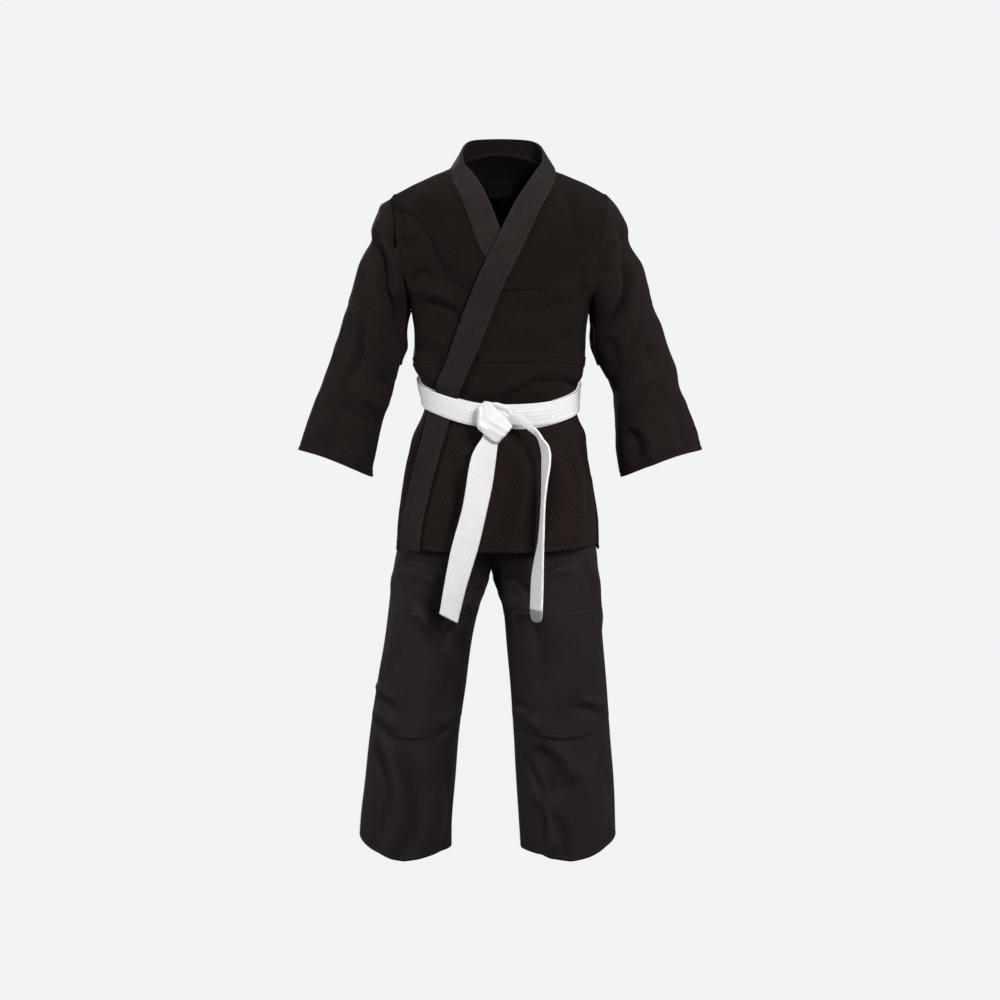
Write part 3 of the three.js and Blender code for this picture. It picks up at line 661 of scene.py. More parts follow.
# ---------- jacket: panels ----------
def up_to_shoulder(v, x, low, front):
    """Heights evenly spaced up the chest and over the shoulder, from low to the shoulder ridge."""
    top = shoulder_z(x) + (0 if front else nape_rise(x))
    flat = np.maximum(CHEST_CROWN_Z - low, 0)
    start = np.maximum(low, CHEST_CROWN_Z)
    first = np.arcsin(np.clip((start - CHEST_CROWN_Z) / (top - CHEST_CROWN_Z), 0, 1))
    share = flat / (flat + (top - start) * 1.35)
    turn = mix(first, np.pi / 2, np.clip((v - share) / (1 - share), 0, 1))
    up = CHEST_CROWN_Z + (top - CHEST_CROWN_Z) * np.sin(turn)
    return np.where(v < share, low + flat * v / np.maximum(share, 1e-9), up)


def panel(start, end, low, front=True, lift=0.0):
    """A panel of the jacket from outline start(z) to end(z), from height low(x) up to the shoulder."""

    def surface(u, v):
        z = mix(0.9, 1.27, v) + 0 * u
        for _ in range(7):
            angle = between(start(z), end(z), z, front, u)
            x = body_plain(angle, z)[..., 0]
            z = up_to_shoulder(v, x, low(x, angle, z), front)
        return body(angle, z, lift)

    return surface


def tucked(x, angle, z):
    """The jacket's panels end behind the middle of the belt."""
    return belt_z(body_plain(angle, 0.88 + 0 * z)) - 0.004


def outer_line(z):
    return curve(OUTER_LAPEL_LINE, z)


def under_line(z):
    return curve(UNDER_LAPEL_LINE, z)


def seamed(cloth, surface, lift, rows, thread=BLACK_THREAD):
    """Stitch rows; each is (u1, v1, u2, v2)."""
    for u1, v1, u2, v2 in rows:
        t = np.linspace(0, 1, 240)
        cloth.seam(surface, mix(u1, u2, t), mix(v1, v2, t), lift, thread)
    return cloth


ARMHOLE_OVER = 0.004
FRONT_PANELS = {
    "left": (outer_line, lambda z: side_x(z) + ARMHOLE_OVER * smooth(z, 1.05, 1.10), 0.0, PEARL),
    "right": (lambda z: -side_x(z) - ARMHOLE_OVER * smooth(z, 1.05, 1.10), under_line, under_lift, PEARL),
}
for side, (start, end, lift, material) in FRONT_PANELS.items():
    surface = panel(start, end, tucked, True, lift)
    made = Cloth(f"front_{side}_cloth", material).sheet(surface, CLOTH, 62, 118)
    place(made, ["jacket"], [f"front_panel_{side}"])

BACK_PANELS = {
    "left": (lambda z: side_x(z) + ARMHOLE_OVER * smooth(z, 1.05, 1.10), lambda z: 0 * z),
    "right": (lambda z: 0 * z - 1e-5, lambda z: -side_x(z) - ARMHOLE_OVER * smooth(z, 1.05, 1.10)),
}
for side, (start, end) in BACK_PANELS.items():
    surface = panel(start, end, tucked, False)
    made = Cloth(f"back_{side}_cloth", PEARL).sheet(surface, CLOTH, 50, 118)
    edge = 0.985 if side == "left" else 0.015
    seamed(made, surface, CLOTH / 2 + 0.0003, [(edge, 0.02, edge, 0.98)])
    place(made, ["jacket"], [f"back_panel_{side}"])

# The chest and shoulder reinforcements: quilted in rows that follow their curved lower edge.
YOKE_LOW = {
    "left": millimetres([
        (0, 1087), (85, 1091), (112, 1108), (137, 1134), (165, 1156), (200, 1186),
    ]),
    "right": millimetres([
        (0, 1087), (55, 1090), (85, 1104), (108, 1138), (130, 1184), (160, 1225), (200, 1243),
    ]),
    "back": millimetres([
        (0, 1100), (80, 1104), (140, 1125), (200, 1160),
    ]),
}
QUILT_ROW = 0.0095
YOKE_LIFT = CLOTH + 0.0004


def quilting(middle, u, v):
    """Soft ridges between rows of quilting, flat at the edges of the piece."""
    height = np.linalg.norm(middle[-1] - middle[0], axis=-1).mean() * 1.15
    rows = np.cos(2 * np.pi * v * round(height / QUILT_ROW))
    inside = smooth(v, 0.0, 0.06) * smooth(u, 0.0, 0.05) * smooth(1 - u, 0.0, 0.05)
    return -0.0003 * rows * inside


YOKES = {
    "left": (lambda z: outer_line(z) + 0.004, FRONT_PANELS["left"][1], True, lambda p: YOKE_LIFT),
    "right": (FRONT_PANELS["right"][0], lambda z: under_line(z) - 0.002, True,
              lambda p: under_lift(p) + YOKE_LIFT),
    "back": (FRONT_PANELS["left"][1], FRONT_PANELS["right"][0], False, lambda p: YOKE_LIFT),
}
YOKE_NODES = {"left": ["shoulder_yoke_left"], "right": ["shoulder_yoke_right"], "back": ["back_yoke"]}
for side, (start, end, front, lift) in YOKES.items():
    edge_line = YOKE_LOW[side]
    surface = panel(start, end, lambda x, angle, z: curve(edge_line, np.abs(x)), front, lift)
    across = 150 if side == "back" else 70
    made = Cloth(f"yoke_{side}_cloth", QUILT).sheet(surface, CLOTH, across, 100, quilting, hems="b")
    seamed(made, surface, CLOTH / 2 + 0.0006, [(0, 0.014, 1, 0.014), (0, 0.042, 1, 0.042)])
    place(made, ["jacket"], YOKE_NODES[side])

# The plain lining inside the back yoke, with the seam that shows inside the back neck.
LINING_HALF_WIDTH = 0.075
LINING_LOW_Z = 1.11
lining = panel(lambda z: LINING_HALF_WIDTH + 0 * z, lambda z: -LINING_HALF_WIDTH + 0 * z,
               lambda x, angle, z: LINING_LOW_Z + 0 * x, False, -CLOTH - 0.002)
made = Cloth("back_lining_cloth", LINING).sheet(lining, CLOTH, 36, 36, hems="b")
t = np.linspace(0, 1, 160)
made.seam(lining, t, 0.60 + 0 * t, -CLOTH / 2 - 0.0004, BLACK_THREAD)
place(made, ["jacket"], ["inner_yoke_lining"])


# ---------- lapels and collar ----------
def strip_edges(line, lift):
    """The lapel's surface: u from its outer to its inner edge, v up the line."""

    def surface(low, high):
        def at(u, v):
            z = mix(low, high, v)
            dz = 1e-3
            slope = (curve(line, z + dz) - curve(line, z - dz)) / (2 * dz)
            size = np.sqrt(1 + slope * slope)
            reach = curve(LAPEL_HALF_WIDTH, z) * (2 * u - 1)
            x = curve(line, z) + reach / size
            height = z - reach * slope / size
            limit = shoulder_z(x) - 1e-4
            return body(angle_at(x, height), np.minimum(height, limit), lift)

        return at

    return surface


OUTER_LAPEL_LIFT = 0.0052
UNDER_LAPEL_OVER = 0.0042


def under_lapel_lift(point):
    return under_lift(point) + UNDER_LAPEL_OVER


JOIN_Z = 1.292
outer_strip = strip_edges(OUTER_LAPEL_LINE, OUTER_LAPEL_LIFT)
under_strip = strip_edges(UNDER_LAPEL_LINE, under_lapel_lift)


def padded(middle, u, v):
    """A lapel is thick and soft: rounded edges and shallow channels along its rows of stitching."""
    edge = 0.0016 * np.sqrt(np.clip(1 - (2 * u - 1) ** 8, 0, 1))
    channel = sum(np.exp(-(((u - row) / 0.025) ** 2)) for row in LAPEL_ROWS)
    return edge - 0.0010 * channel


LAPEL_ROWS = (0.12, 0.30, 0.48, 0.66, 0.84)


def add_lapel(name, strip, low, high, bodies, nodes):
    surface = strip(low, high)
    count = int((high - low) * 1.2 / 0.0035)
    made = Cloth(name, LAPEL_CLOTH).sheet(surface, LAPEL * 0.6, 20, count, padded)
    rows = [(row, 0.0, row, 1.0) for row in LAPEL_ROWS]
    seamed(made, surface, LAPEL * 0.3 + 0.0010, rows, LAPEL_THREAD)
    return place(made, bodies, nodes)


add_lapel("lapel_left_cloth", outer_strip, 0.856, JOIN_Z, ["jacket"], ["lapel_left"])
add_lapel("lapel_right_cloth", under_strip, 0.862, JOIN_Z, ["jacket"], ["lapel_right"])

both_edges = np.array([0.0, 1.0])
left_high, left_low = outer_strip(JOIN_Z - 0.002, JOIN_Z)(both_edges, np.ones(2))
right_low, right_high = under_strip(JOIN_Z - 0.002, JOIN_Z)(both_edges, np.ones(2))


def collar_side(low_end, high_end, side):
    """Points (t, x, y, z) from the lapel's end to the middle of the back neck, for the band's two edges."""
    inward = 0.0 if side > 0 else 0.010
    low = [(1.0, *low_end), (0.86, side * (0.1035 - inward), MID_Y - 0.030, 1.305),
           (0.70, side * (0.101 - inward), MID_Y + 0.010, 1.317),
           (0.50, side * (0.088 - inward), MID_Y + 0.040, 1.327), (0.25, side * 0.053, MID_Y + 0.059, 1.3345)]
    high = [(1.0, *high_end), (0.86, side * (0.0780 - inward), MID_Y - 0.022, 1.327),
            (0.70, side * (0.0805 - inward), MID_Y + 0.008, 1.345),
            (0.50, side * (0.0715 - inward * 0.7), MID_Y + 0.034, 1.364),
            (0.25, side * 0.046, MID_Y + 0.054, 1.373)]
    return low, high


def collar_keys():
    keys = []
    for part, middle in ((0, (0.0, 0.0, MID_Y + 0.0675, 1.337)), (1, (0.0, 0.0, MID_Y + 0.0620, 1.3755))):
        left = collar_side(left_low, left_high, 1)[part]
        right = collar_side(right_low, right_high, -1)[part]
        keys.append(sorted([(-t, x, y, z) for t, x, y, z in right] + [middle] + left))
    return keys


COLLAR_LOW, COLLAR_HIGH = collar_keys()


def collar(u, v):
    """u from the left lapel round the back to the right one, v from the band's lower to its upper edge."""
    t = 1 - 2 * u
    low = stack(*[curve([(key[0], key[k]) for key in COLLAR_LOW], t) for k in (1, 2, 3)])
    high = stack(*[curve([(key[0], key[k]) for key in COLLAR_HIGH], t) for k in (1, 2, 3)])
    return mix(low, high, v[..., None])


def collar_padded(middle, u, v):
    return padded(middle, v, u)


made = Cloth("collar_cloth", LAPEL_CLOTH)
made.sheet(collar, LAPEL * 0.6, 110, 16, collar_padded, inside=COLLAR_INSIDE)
for row in LAPEL_ROWS:
    t = np.linspace(0, 1, 300)
    made.seam(collar, t, row + 0 * t, LAPEL * 0.3 + 0.0010, LAPEL_THREAD)
place(made, ["jacket"], ["collar_band"])

# The blank tab sewn inside the back neck.
tab_low, tab_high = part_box("neck_tab")


def tab(u, v):
    middle_y = (tab_low.y + tab_high.y) / 2
    return stack(mix(tab_high.x, tab_low.x, u), middle_y + 0 * u, mix(tab_low.z, tab_high.z, v))


made = Cloth("neck_tab_cloth", TAB_CLOTH).sheet(tab, 0.0012, 14, 10, hems="lrbt")
tab_rows = [
    (0.08, 0.12, 0.92, 0.12), (0.08, 0.88, 0.92, 0.88), (0.08, 0.12, 0.08, 0.88), (0.92, 0.12, 0.92, 0.88),
]
seamed(made, tab, -0.0009, tab_rows)
place(made, ["jacket"], ["neck_tab"])


# ---------- waist seam ----------
TAPE_START = float(angle_at(np.array(outer_line(WAIST_SEAM_Z)) + 0.034, np.array(WAIST_SEAM_Z)))
TAPE_END = 2 * np.pi + float(angle_at(np.array(outer_line(WAIST_SEAM_Z)) - 0.020, np.array(WAIST_SEAM_Z)))


def waist_tape(u, v):
    """All round the waist, from the outer lapel's right edge to its left edge."""
    angle = mix(TAPE_START, TAPE_END, u)
    z = WAIST_SEAM_Z + 0.0105 * np.cos(angle) + (v - 0.5) * 0.017

    def lift(point):
        wrapped = (angle > 1.5 * np.pi) * under_lift(point)
        return wrapped + CLOTH * 0.5 + 0.0006

    return body(angle, z, lift)


made = Cloth("waist_tape_cloth", PEARL).sheet(waist_tape, 0.0010, 190, 5, hems="bt")
seamed(made, waist_tape, 0.0009, [(0.004, 0.86, 0.996, 0.86)])
place(made, ["jacket"], ["waist_seam_tape"])


# ---------- jacket skirt ----------
BACK_WRAP = 0.48  # radians that the right back panel reaches round onto the front, where it shows


def skirt(start, end, front, lift, wrap=0.0):
    """A skirt panel from outline start(z) to end(z), from the hem up behind the belt."""

    def surface(u, v):
        z = mix(SKIRT_HEM_Z, 0.86, v) + 0 * u
        for _ in range(3):
            angle = between(start(z), end(z), z, front, u) + wrap * u
            level = body_plain(angle, 0.88 + 0 * z)
            low = SKIRT_HEM_Z + (0.007 + 0.006 * smooth(level[..., 0], 0.05, 0.14) if front else 0.0)
            z = mix(low, belt_z(level) - 0.006, v)
        return body(angle, z, lift)

    return surface


HEM = 0.0125  # height of the hem's stitching
SKIRT_LENGTH = 0.25
EDGE_STITCHING = 0.010  # distance of the stitching from a side edge


def skirt_side(z):
    return curve(BODY_HALF_WIDTH, z) * 0.994


def add_skirt(name, surface, bodies, nodes, columns):
    made = Cloth(name, DIAMOND).sheet(surface, CLOTH * 1.2, columns, 66, hems="blr")
    edge = EDGE_STITCHING / (columns * GRID)
    rows = [(0, HEM / SKIRT_LENGTH, 1, HEM / SKIRT_LENGTH), (1 - edge, 0, 1 - edge, 1)]
    seamed(made, surface, CLOTH * 0.6 + 0.0005, rows)
    return place(made, bodies, nodes)


def back_skirt_lift(point):
    """The back panel hangs outside the front at the side seam, and its front edge lies behind the lapel."""
    behind = smooth(point[..., 1], MID_Y - 0.055, MID_Y - 0.010)
    return mix(-0.0040, 0.0045, behind) * (1 - smooth(point[..., 2], 0.80, 0.86))


outer_skirt = skirt(outer_line, skirt_side, True, 0.0)
add_skirt("skirt_outer_cloth", outer_skirt, ["jacket", "outer_skirt"],
          ["skirt_front_outer", "skirt_hem_outer"], 84)
under_skirt = skirt(lambda z: -0.72 * curve(BODY_HALF_WIDTH, z), under_line, True,
                    lambda p: UNDER + 0 * p[..., 0])
add_skirt("skirt_under_cloth", under_skirt, ["jacket", "under_skirt"], ["skirt_front_under"], 60)
for side, start, end in (
    ("left", skirt_side, lambda z: 0 * z),
    ("right", lambda z: 0 * z - 1e-5, lambda z: -skirt_side(z)),
):
    nodes = [f"skirt_back_{side}"] + (["skirt_hem_back"] if side == "left" else [])
    back_skirt = skirt(start, end, False, back_skirt_lift, BACK_WRAP if side == "right" else 0.0)
    add_skirt(f"skirt_back_{side}_cloth", back_skirt, ["jacket", "back_skirt"], nodes, 54)

add_lapel("lapel_tail_left_cloth", outer_strip, SKIRT_HEM_Z + 0.007, 0.862, ["jacket", "outer_skirt"],
          ["lapel_tail_left"])
add_lapel("lapel_tail_right_cloth", under_strip, SKIRT_HEM_Z + 0.007, 0.850, ["jacket", "under_skirt"],
          ["lapel_tail_right"])


# ---------- sleeves ----------
def raised(surface, height):
    """The surface pushed out along its normal by height(point, u, v)."""

    def at(u, v):
        here = surface(u, v)
        e = 1e-3
        normal = unit(np.cross(surface(u + e, v) - surface(u - e, v), surface(u, v + e) - surface(u, v - e)))
        return here + normal * np.asarray(height(here, u, v))[..., None]

    return at


def armhole(across, back):
    z = mix(1.0555, 1.2685, (1 + across) / 2)
    x = side_x(z)
    front_y = body_plain(angle_at(x, z, True), z)[..., 1]
    back_y = body_plain(angle_at(x, z, False), z)[..., 1]
    return x, np.where(back > 0, back_y, front_y), z


def sleeve_tube(side):
    """u runs round the arm from the underarm, front first; v from the cuff (0) to the body (1)."""
    inner = SLEEVE_INNER["left" if side > 0 else "right"]

    def surface(u, v):
        angle = np.pi * (2 * u - 1)
        share = np.clip((1 - v) * (1 - 0.017 * np.sin(angle) ** 2), 0, 1)
        across = np.sign(np.cos(angle)) * np.abs(np.cos(angle)) ** 0.9
        back = np.sign(np.sin(angle)) * np.abs(np.sin(angle)) ** 0.9
        ox, oz = path(SLEEVE_OUTER, share)
        ix, iz = path(inner, share)
        x = mix(ix, ox, (1 + across) / 2)
        z = mix(iz, oz, (1 + across) / 2)
        y = MID_Y + curve(SLEEVE_DEPTH, share) * back
        ax, ay, az = armhole(across, back)
        join = 1 - smooth(share, 0.0, 0.14)
        return stack(side * mix(x, ax, join), mix(y, ay, join), mix(z, az, join))

    def turned(u, v):
        return surface(u if side > 0 else 1 - u, v)

    return turned


SLEEVE_FOLDS = {"left": SLEEVE_LEFT_FOLDS, "right": SLEEVE_RIGHT_FOLDS}
SLEEVE_SEAM_V = 0.58


def add_sleeve(name, side):
    def relief(point, u, v):
        x, y, z = point[..., 0], point[..., 1], point[..., 2]
        front = 1 - 0.45 * smooth(y, MID_Y - 0.02, MID_Y + 0.03)
        free = 1 - smooth(v, 0.93, 1.0)
        return (fold_height(SLEEVE_FOLDS[name], x, z) * front + 0.0024 * ripple(x, y, z, 0.12, 5)
                + 0.0008 * ripple(x, y, z, 0.045, 6)) * free

    tube = raised(sleeve_tube(side), relief)
    bodies = ["jacket", f"{name}_sleeve"]
    upper = part_of(tube, (0, 1), (SLEEVE_SEAM_V - 0.006, 1))
    made = Cloth(f"sleeve_upper_{name}_cloth", SLEEVE).sheet(upper, CLOTH, 110, 66)
    place(made, bodies, [f"sleeve_upper_{name}"])
    lower = part_of(raised(tube, lambda p, u, v: -0.0009 * smooth(v, 0.52, 0.57)), (0, 1), (0, SLEEVE_SEAM_V))
    made = Cloth(f"sleeve_lower_{name}_cloth", SLEEVE).sheet(lower, CLOTH, 110, 84, hems="b")
    seamed(made, lower, CLOTH / 2 + 0.0006, [(0, 0.045, 1, 0.045), (0, 0.055, 1, 0.055)])
    place(made, bodies, [f"sleeve_lower_{name}", f"cuff_hem_{name}"])

    def gusset(u, v):
        width = 0.17 * (1 - np.abs(2 * v - 1) ** 1.6) + 0.004
        return raised(tube, lambda p, a, b: CLOTH + 0.0006)(0.0 + width * (u - 0.5), mix(0.66, 0.95, v))

    made = Cloth(f"gusset_{name}_cloth", SLEEVE).sheet(gusset, CLOTH * 0.8, 22, 36, hems="lrbt")
    place(made, bodies, [f"underarm_gusset_{name}"])


def part_of(surface, us, vs):
    return lambda u, v: surface(mix(us[0], us[1], u), mix(vs[0], vs[1], v))


add_sleeve("left", 1)
add_sleeve("right", -1)


# ---------- belt ----------
BELT_ROWS = (0.08, 0.25, 0.42, 0.58, 0.75, 0.92)


def belt_turn(lift, drop):
    def surface(u, v):
        angle = np.pi * (2 * u - 1) * 0.99999
        level = body_plain(angle, 0.86 + 0 * angle)
        sag = drop * np.exp(-(((level[..., 0] - 0.045) / 0.045) ** 2)) * (level[..., 1] < MID_Y)
        z = belt_z(level) + (v - 0.5) * BELT_WIDTH - sag
        press = 0.0012 * np.cos(2 * np.pi * (v - 0.5))
        point = body_plain(angle, z)
        normal = normals(body_plain, angle, z)
        uneven = 0.0008 * ripple(point[..., 0], point[..., 1], point[..., 2], 0.2, 8)
        return point + normal * (lift + press + uneven)[..., None]

    return surface


for name, lift, drop in (("inner", 0.0050, 0.0042), ("outer", 0.0092, 0.0)):
    surface = belt_turn(lift, drop)
    made = Cloth(f"belt_{name}_cloth", BELT_CLOTH).sheet(surface, BELT_THICK, 190, 12, hems="")
    seamed(made, surface, BELT_THICK / 2 + 0.0002, [(0, row, 1, row) for row in BELT_ROWS], WHITE_THREAD)
    place(made, ["jacket"], [f"belt_{name}_turn"])


def ribbon(left, right, puff=0.0):
    """A strip between two lines of (x, y, z) points; puff bows its middle forward."""

    def line(points, v):
        share = arc(np.array(points)) / arc(np.array(points))[-1]
        return stack(*[curve(list(zip(share, values)), v) for values in zip(*points)])

    def surface(u, v):
        point = mix(line(left, v), line(right, v), u[..., None])
        point[..., 1] -= puff * np.clip(4 * u * (1 - u), 0, 1) ** 0.6
        return point

    return surface


def add_ribbon(made, surface, nu, nv, thickness=BELT_THICK, creases=()):
    """Creases are (u1, v1, u2, v2, width, height): soft valleys and ridges across the ribbon."""

    def relief(middle, u, v):
        uneven = 0.0004 * ripple(middle[..., 0], middle[..., 1], middle[..., 2], 0.03, 9)
        return fold_height(creases, u, v) + uneven

    surface = raised(surface, relief)
    made.sheet(surface, thickness, nu, nv)
    rows = [(row, 0.01, row, 0.99) for row in BELT_ROWS]
    return seamed(made, surface, thickness / 2 + 0.0002, rows, WHITE_THREAD)


FRONT = -0.106  # how far forward the knot's hidden side is


def belt_points(rows):
    """Millimetres: x, distance in front of the knot's hidden side, z."""
    return [(x / 1000, FRONT - out / 1000, z / 1000) for x, out, z in rows]


knot = Cloth("knot_cloth", BELT_CLOTH)
# The band that passes from the upper left down to the right, under the main one.
add_ribbon(knot, ribbon(
    belt_points([
        (-40, -10, 871), (-27, 7, 881.5), (-12, 13, 882), (4, 13, 879), (15.5, 10, 876.5), (24, -1, 871),
    ]),
    belt_points([
        (-42, -10, 845), (-32, 6, 843), (-18, 11, 849), (0, 12, 849), (15, 10, 849), (24, -1, 847),
    ]), 0.002), 16, 40,
    creases=[(0.15, 0.30, 0.75, 0.95, 0.06, -0.0022), (0.0, 0.45, 0.5, 1.0, 0.05, 0.0010)])
# The main band: up from the left, over, and down to the lower right, where it folds under.
add_ribbon(knot, ribbon(
    belt_points([
        (-40, 4, 873), (-37.5, 13, 859), (-41.2, 17, 839), (-30, 24, 826.5), (-7.5, 27, 810.5),
        (-3.5, 20, 809.5), (-10, 10, 819),
    ]),
    belt_points([
        (-28, 6, 883.5), (-20, 15, 883), (-8, 22, 869), (6, 26, 857.5), (20.5, 26, 840.5),
        (21.5, 18, 838), (12, 8, 841),
    ]), 0.004), 24, 60,
    creases=[(0.24, 0.02, 0.20, 0.55, 0.07, -0.0036), (0.42, 0.05, 0.36, 0.50, 0.08, 0.0012),
             (0.55, 0.35, 0.80, 0.85, 0.07, -0.0014), (0.30, 0.45, 0.55, 0.90, 0.06, -0.0012)])
place(knot, ["jacket"], ["belt_knot"])

wide = Cloth("belt_end_wide_cloth", BELT_CLOTH)
add_ribbon(wide, ribbon(
    belt_points([
        (-26, 12, 840), (-31.1, 16, 820.5), (-44, 19, 800.4), (-53.1, 21, 780.2), (-67.8, 26, 694.1),
        (-91.6, 29, 604.3), (-111.8, 27, 492.6),
    ]),
    belt_points([
        (-2, 12, 826), (-4.6, 17, 805.9), (-7.3, 21, 782.1), (-12.8, 24, 739.9), (-25.7, 30, 677.6),
        (-40.3, 32, 615.3), (-62.3, 30, 542), (-78.8, 25, 475.2),
    ]), 0.0015), 14, 110)
place(wide, ["outer_skirt", "wide_belt_end"], ["belt_end_wide"])

# The narrow-looking end leaves the knot flat, then hangs almost edge-on.
NARROW_LEFT = belt_points([
    (6, 4, 838), (19.2, 10, 840), (27.7, 13, 841.5), (39.6, 17, 840.5), (53.1, 20, 832),
    (70.1, 18, 816.8), (75.2, 14, 799.8), (77.7, 11, 781.2), (77.7, 12, 735.4), (76.8, 13, 699.6),
    (71.5, 14, 626.3), (64.1, 15, 589.7), (58.8, 16, 553), (56.8, 17, 500),
])
NARROW_RIGHT = belt_points([
    (8, 4, 868), (17.6, 10, 865.6), (36.2, 15, 860.8), (51.4, 21, 849), (68.4, 30, 832),
    (78.6, 40, 816.8), (88.7, 47, 803.2), (91.8, 52, 785), (85.5, 54, 735.4), (81.5, 55, 699.6),
    (79.5, 55, 626.3), (78.8, 54, 589.7), (78.5, 54, 553), (77, 53, 500),
])
narrow = Cloth("belt_end_narrow_cloth", BELT_CLOTH)
add_ribbon(narrow, ribbon(NARROW_LEFT, NARROW_RIGHT, 0.0012), 14, 120)
place(narrow, ["outer_skirt", "narrow_belt_end"], ["belt_end_narrow"])


def tip_surface(u, v):
    """The end's rounded tip, below the last point of its two edges."""
    left, right = np.array(NARROW_LEFT[-1]), np.array(NARROW_RIGHT[-1])
    turn = np.pi * v[..., None] / 2
    middle = (left + right) / 2
    point = middle + (left - middle) * (1 - 2 * u[..., None]) * np.cos(turn) ** 0.6
    point[..., 2] += 0.002 - 0.024 * np.sin(turn[..., 0])
    return point


tip = Cloth("belt_tip_cloth", TIP_CLOTH)
tip.sheet(part_of(tip_surface, (0, 1), (0.97, 0)), BELT_THICK * 1.15, 14, 14)
place(tip, ["narrow_belt_end"], ["belt_end_tip"])


# ---------- trousers ----------
TROUSER_DEPTH = millimetres([
    (0, 78), (280, 82), (450, 88), (560, 92), (660, 88), (790, 74), (862, 69),
])
SIDE_HEM_LIFT = 0.036
HEM_Z = 0.006  # the lowest point of the trouser hems
WAISTBAND_OVERLAP = 0.004
CENTRE_SEAM = [(0.560, CROTCH_X), (0.60, -0.014), (0.70, -0.008), (0.862, -0.007)]
LEG_FOLDS = {"left": LEG_LEFT_FOLDS, "right": LEG_RIGHT_FOLDS}


def leg_point(name, turn, z, back):
    """turn is 0 at the outer seam and 1 at the inner or centre seam; back is -1 in front and 1 behind."""
    outline = LEG_OUTLINES[name]
    outer = curve(outline["outer"], z)
    inner = np.where(z > CROTCH_Z, curve(CENTRE_SEAM, z), curve(outline["inner"], z))
    open_up = np.sqrt(np.clip((z - CROTCH_Z) / 0.115, 0, 1))
    most = np.pi * (1 - 0.5 * open_up)
    size = (outer - inner) / (1 - np.cos(most))
    angle = turn * most
    x = outer - size * (1 - np.cos(angle))
    y = curve(TROUSER_DEPTH, z) * np.sin(angle) ** 0.82
    return stack(x, MID_Y + back * y, z)


def leg_hem(turn):
    """The hems rise at the outer seam, and a third as much at the inner one."""
    return HEM_Z + mix(SIDE_HEM_LIFT, SIDE_HEM_LIFT / 3, turn) * np.abs(np.cos(np.pi * turn)) ** 1.25


def leg_sheet(name, back, low=None, high=None, turns=(0, 1)):
    side = 1 if name == "left" else -1

    def surface(u, v):
        flip = (side * back) > 0
        share = u if flip else 1 - u
        turn = mix(turns[0], turns[1], np.clip(share, 0, 1))
        bottom = leg_hem(turn) if low is None else low(turn)
        top = WAISTBAND_LOW_Z + WAISTBAND_OVERLAP + 0 * turn if high is None else high(turn)
        return leg_point(name, turn, mix(bottom, top, v), back)

    def height(point, u, v):
        x, y, z = point[..., 0], point[..., 1], point[..., 2]
        folds = fold_height(LEG_FOLDS[name], x, z) * (1.0 if back < 0 else 0.6)
        ends = smooth(u, 0.0, 0.06) * smooth(1 - u, 0.0, 0.06)
        below_skirt = 1 - smooth(z, 0.60, 0.66)
        return (folds * below_skirt + 0.0020 * ripple(x, y, z, 0.13, 11)) * ends

    return raised(surface, height)


def lifted(surface, lift):
    return raised(surface, lambda point, u, v: lift + 0 * u)


SEAT_NODES = {"front": "trouser_seat_front", "back": "trouser_seat_back"}
for name in ("left", "right"):
    for face, back in (("front", -1), ("back", 1)):
        surface = leg_sheet(name, back)
        made = Cloth(f"trousers_{face}_{name}_cloth", TWILL_CLOTH).sheet(surface, TWILL, 64, 190, hems="b")
        seam_rows = [(0.02, 0, 0.02, 1), (0.98, 0, 0.98, 1), (0, 0.019, 1, 0.019), (0, 0.004, 1, 0.004)]
        seamed(made, surface, TWILL / 2 + 0.0004, seam_rows)
        nodes = [f"leg_{face}_{name}", f"leg_hem_{face}_{name}", SEAT_NODES[face]]
        place(made, ["trousers", f"{name}_leg"], nodes)

    knee_sheet = leg_sheet(name, -1, lambda t: 0.285 - 0.042 * np.sin(np.pi * t),
                           lambda t: 0.492 - 0.006 * np.sin(np.pi * t), (0.06, 0.95))
    knee = lifted(knee_sheet, TWILL + 0.0004)
    made = Cloth(f"knee_{name}_cloth", TWILL_CLOTH).sheet(knee, TWILL * 0.8, 58, 54, hems="b")
    seamed(made, knee, TWILL / 2 + 0.0005, [(0, 0.022, 1, 0.022), (0, 0.052, 1, 0.052), (0, 0.975, 1, 0.975)])
    place(made, ["trousers", f"{name}_leg"], [f"knee_patch_{name}"])

    gusset_sheet = leg_sheet(name, -1, lambda t: 0.470 + 0.10 * (1 - t), lambda t: 0.545 - 0.03 * (1 - t),
                             (0.72, 0.985))
    gusset = lifted(gusset_sheet, TWILL + 0.0003)
    made = Cloth(f"gusset_crotch_{name}_cloth", TWILL_CLOTH).sheet(gusset, TWILL * 0.5, 22, 18)
    place(made, ["trousers", f"{name}_leg"], [f"crotch_gusset_{name}"])


# ---------- waistband and drawstring ----------
WAIST_MIDDLE_X = (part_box("waistband")[0].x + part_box("waistband")[1].x) / 2


def waistband(u, v):
    angle = 2 * np.pi * u
    z = mix(WAISTBAND_LOW_Z, WAISTBAND_TOP_Z, v)
    gather = 0.0013 * np.sin(angle * 46) * np.sin(np.pi * v) ** 0.5
    x = WAIST_MIDDLE_X + (0.1105 + gather) * np.sin(angle)
    y = MID_Y - (0.0725 + gather) * np.sign(np.cos(angle)) * np.abs(np.cos(angle)) ** 0.9
    return stack(x, y, z)


made = Cloth("waistband_cloth", TWILL_CLOTH).sheet(waistband, 0.0035, 240, 12, hems="bt")
seamed(made, waistband, 0.0028, [(0, 0.14, 1, 0.14), (0, 0.5, 1, 0.5), (0, 0.86, 1, 0.86)])
place(made, ["trousers"], ["waistband"])


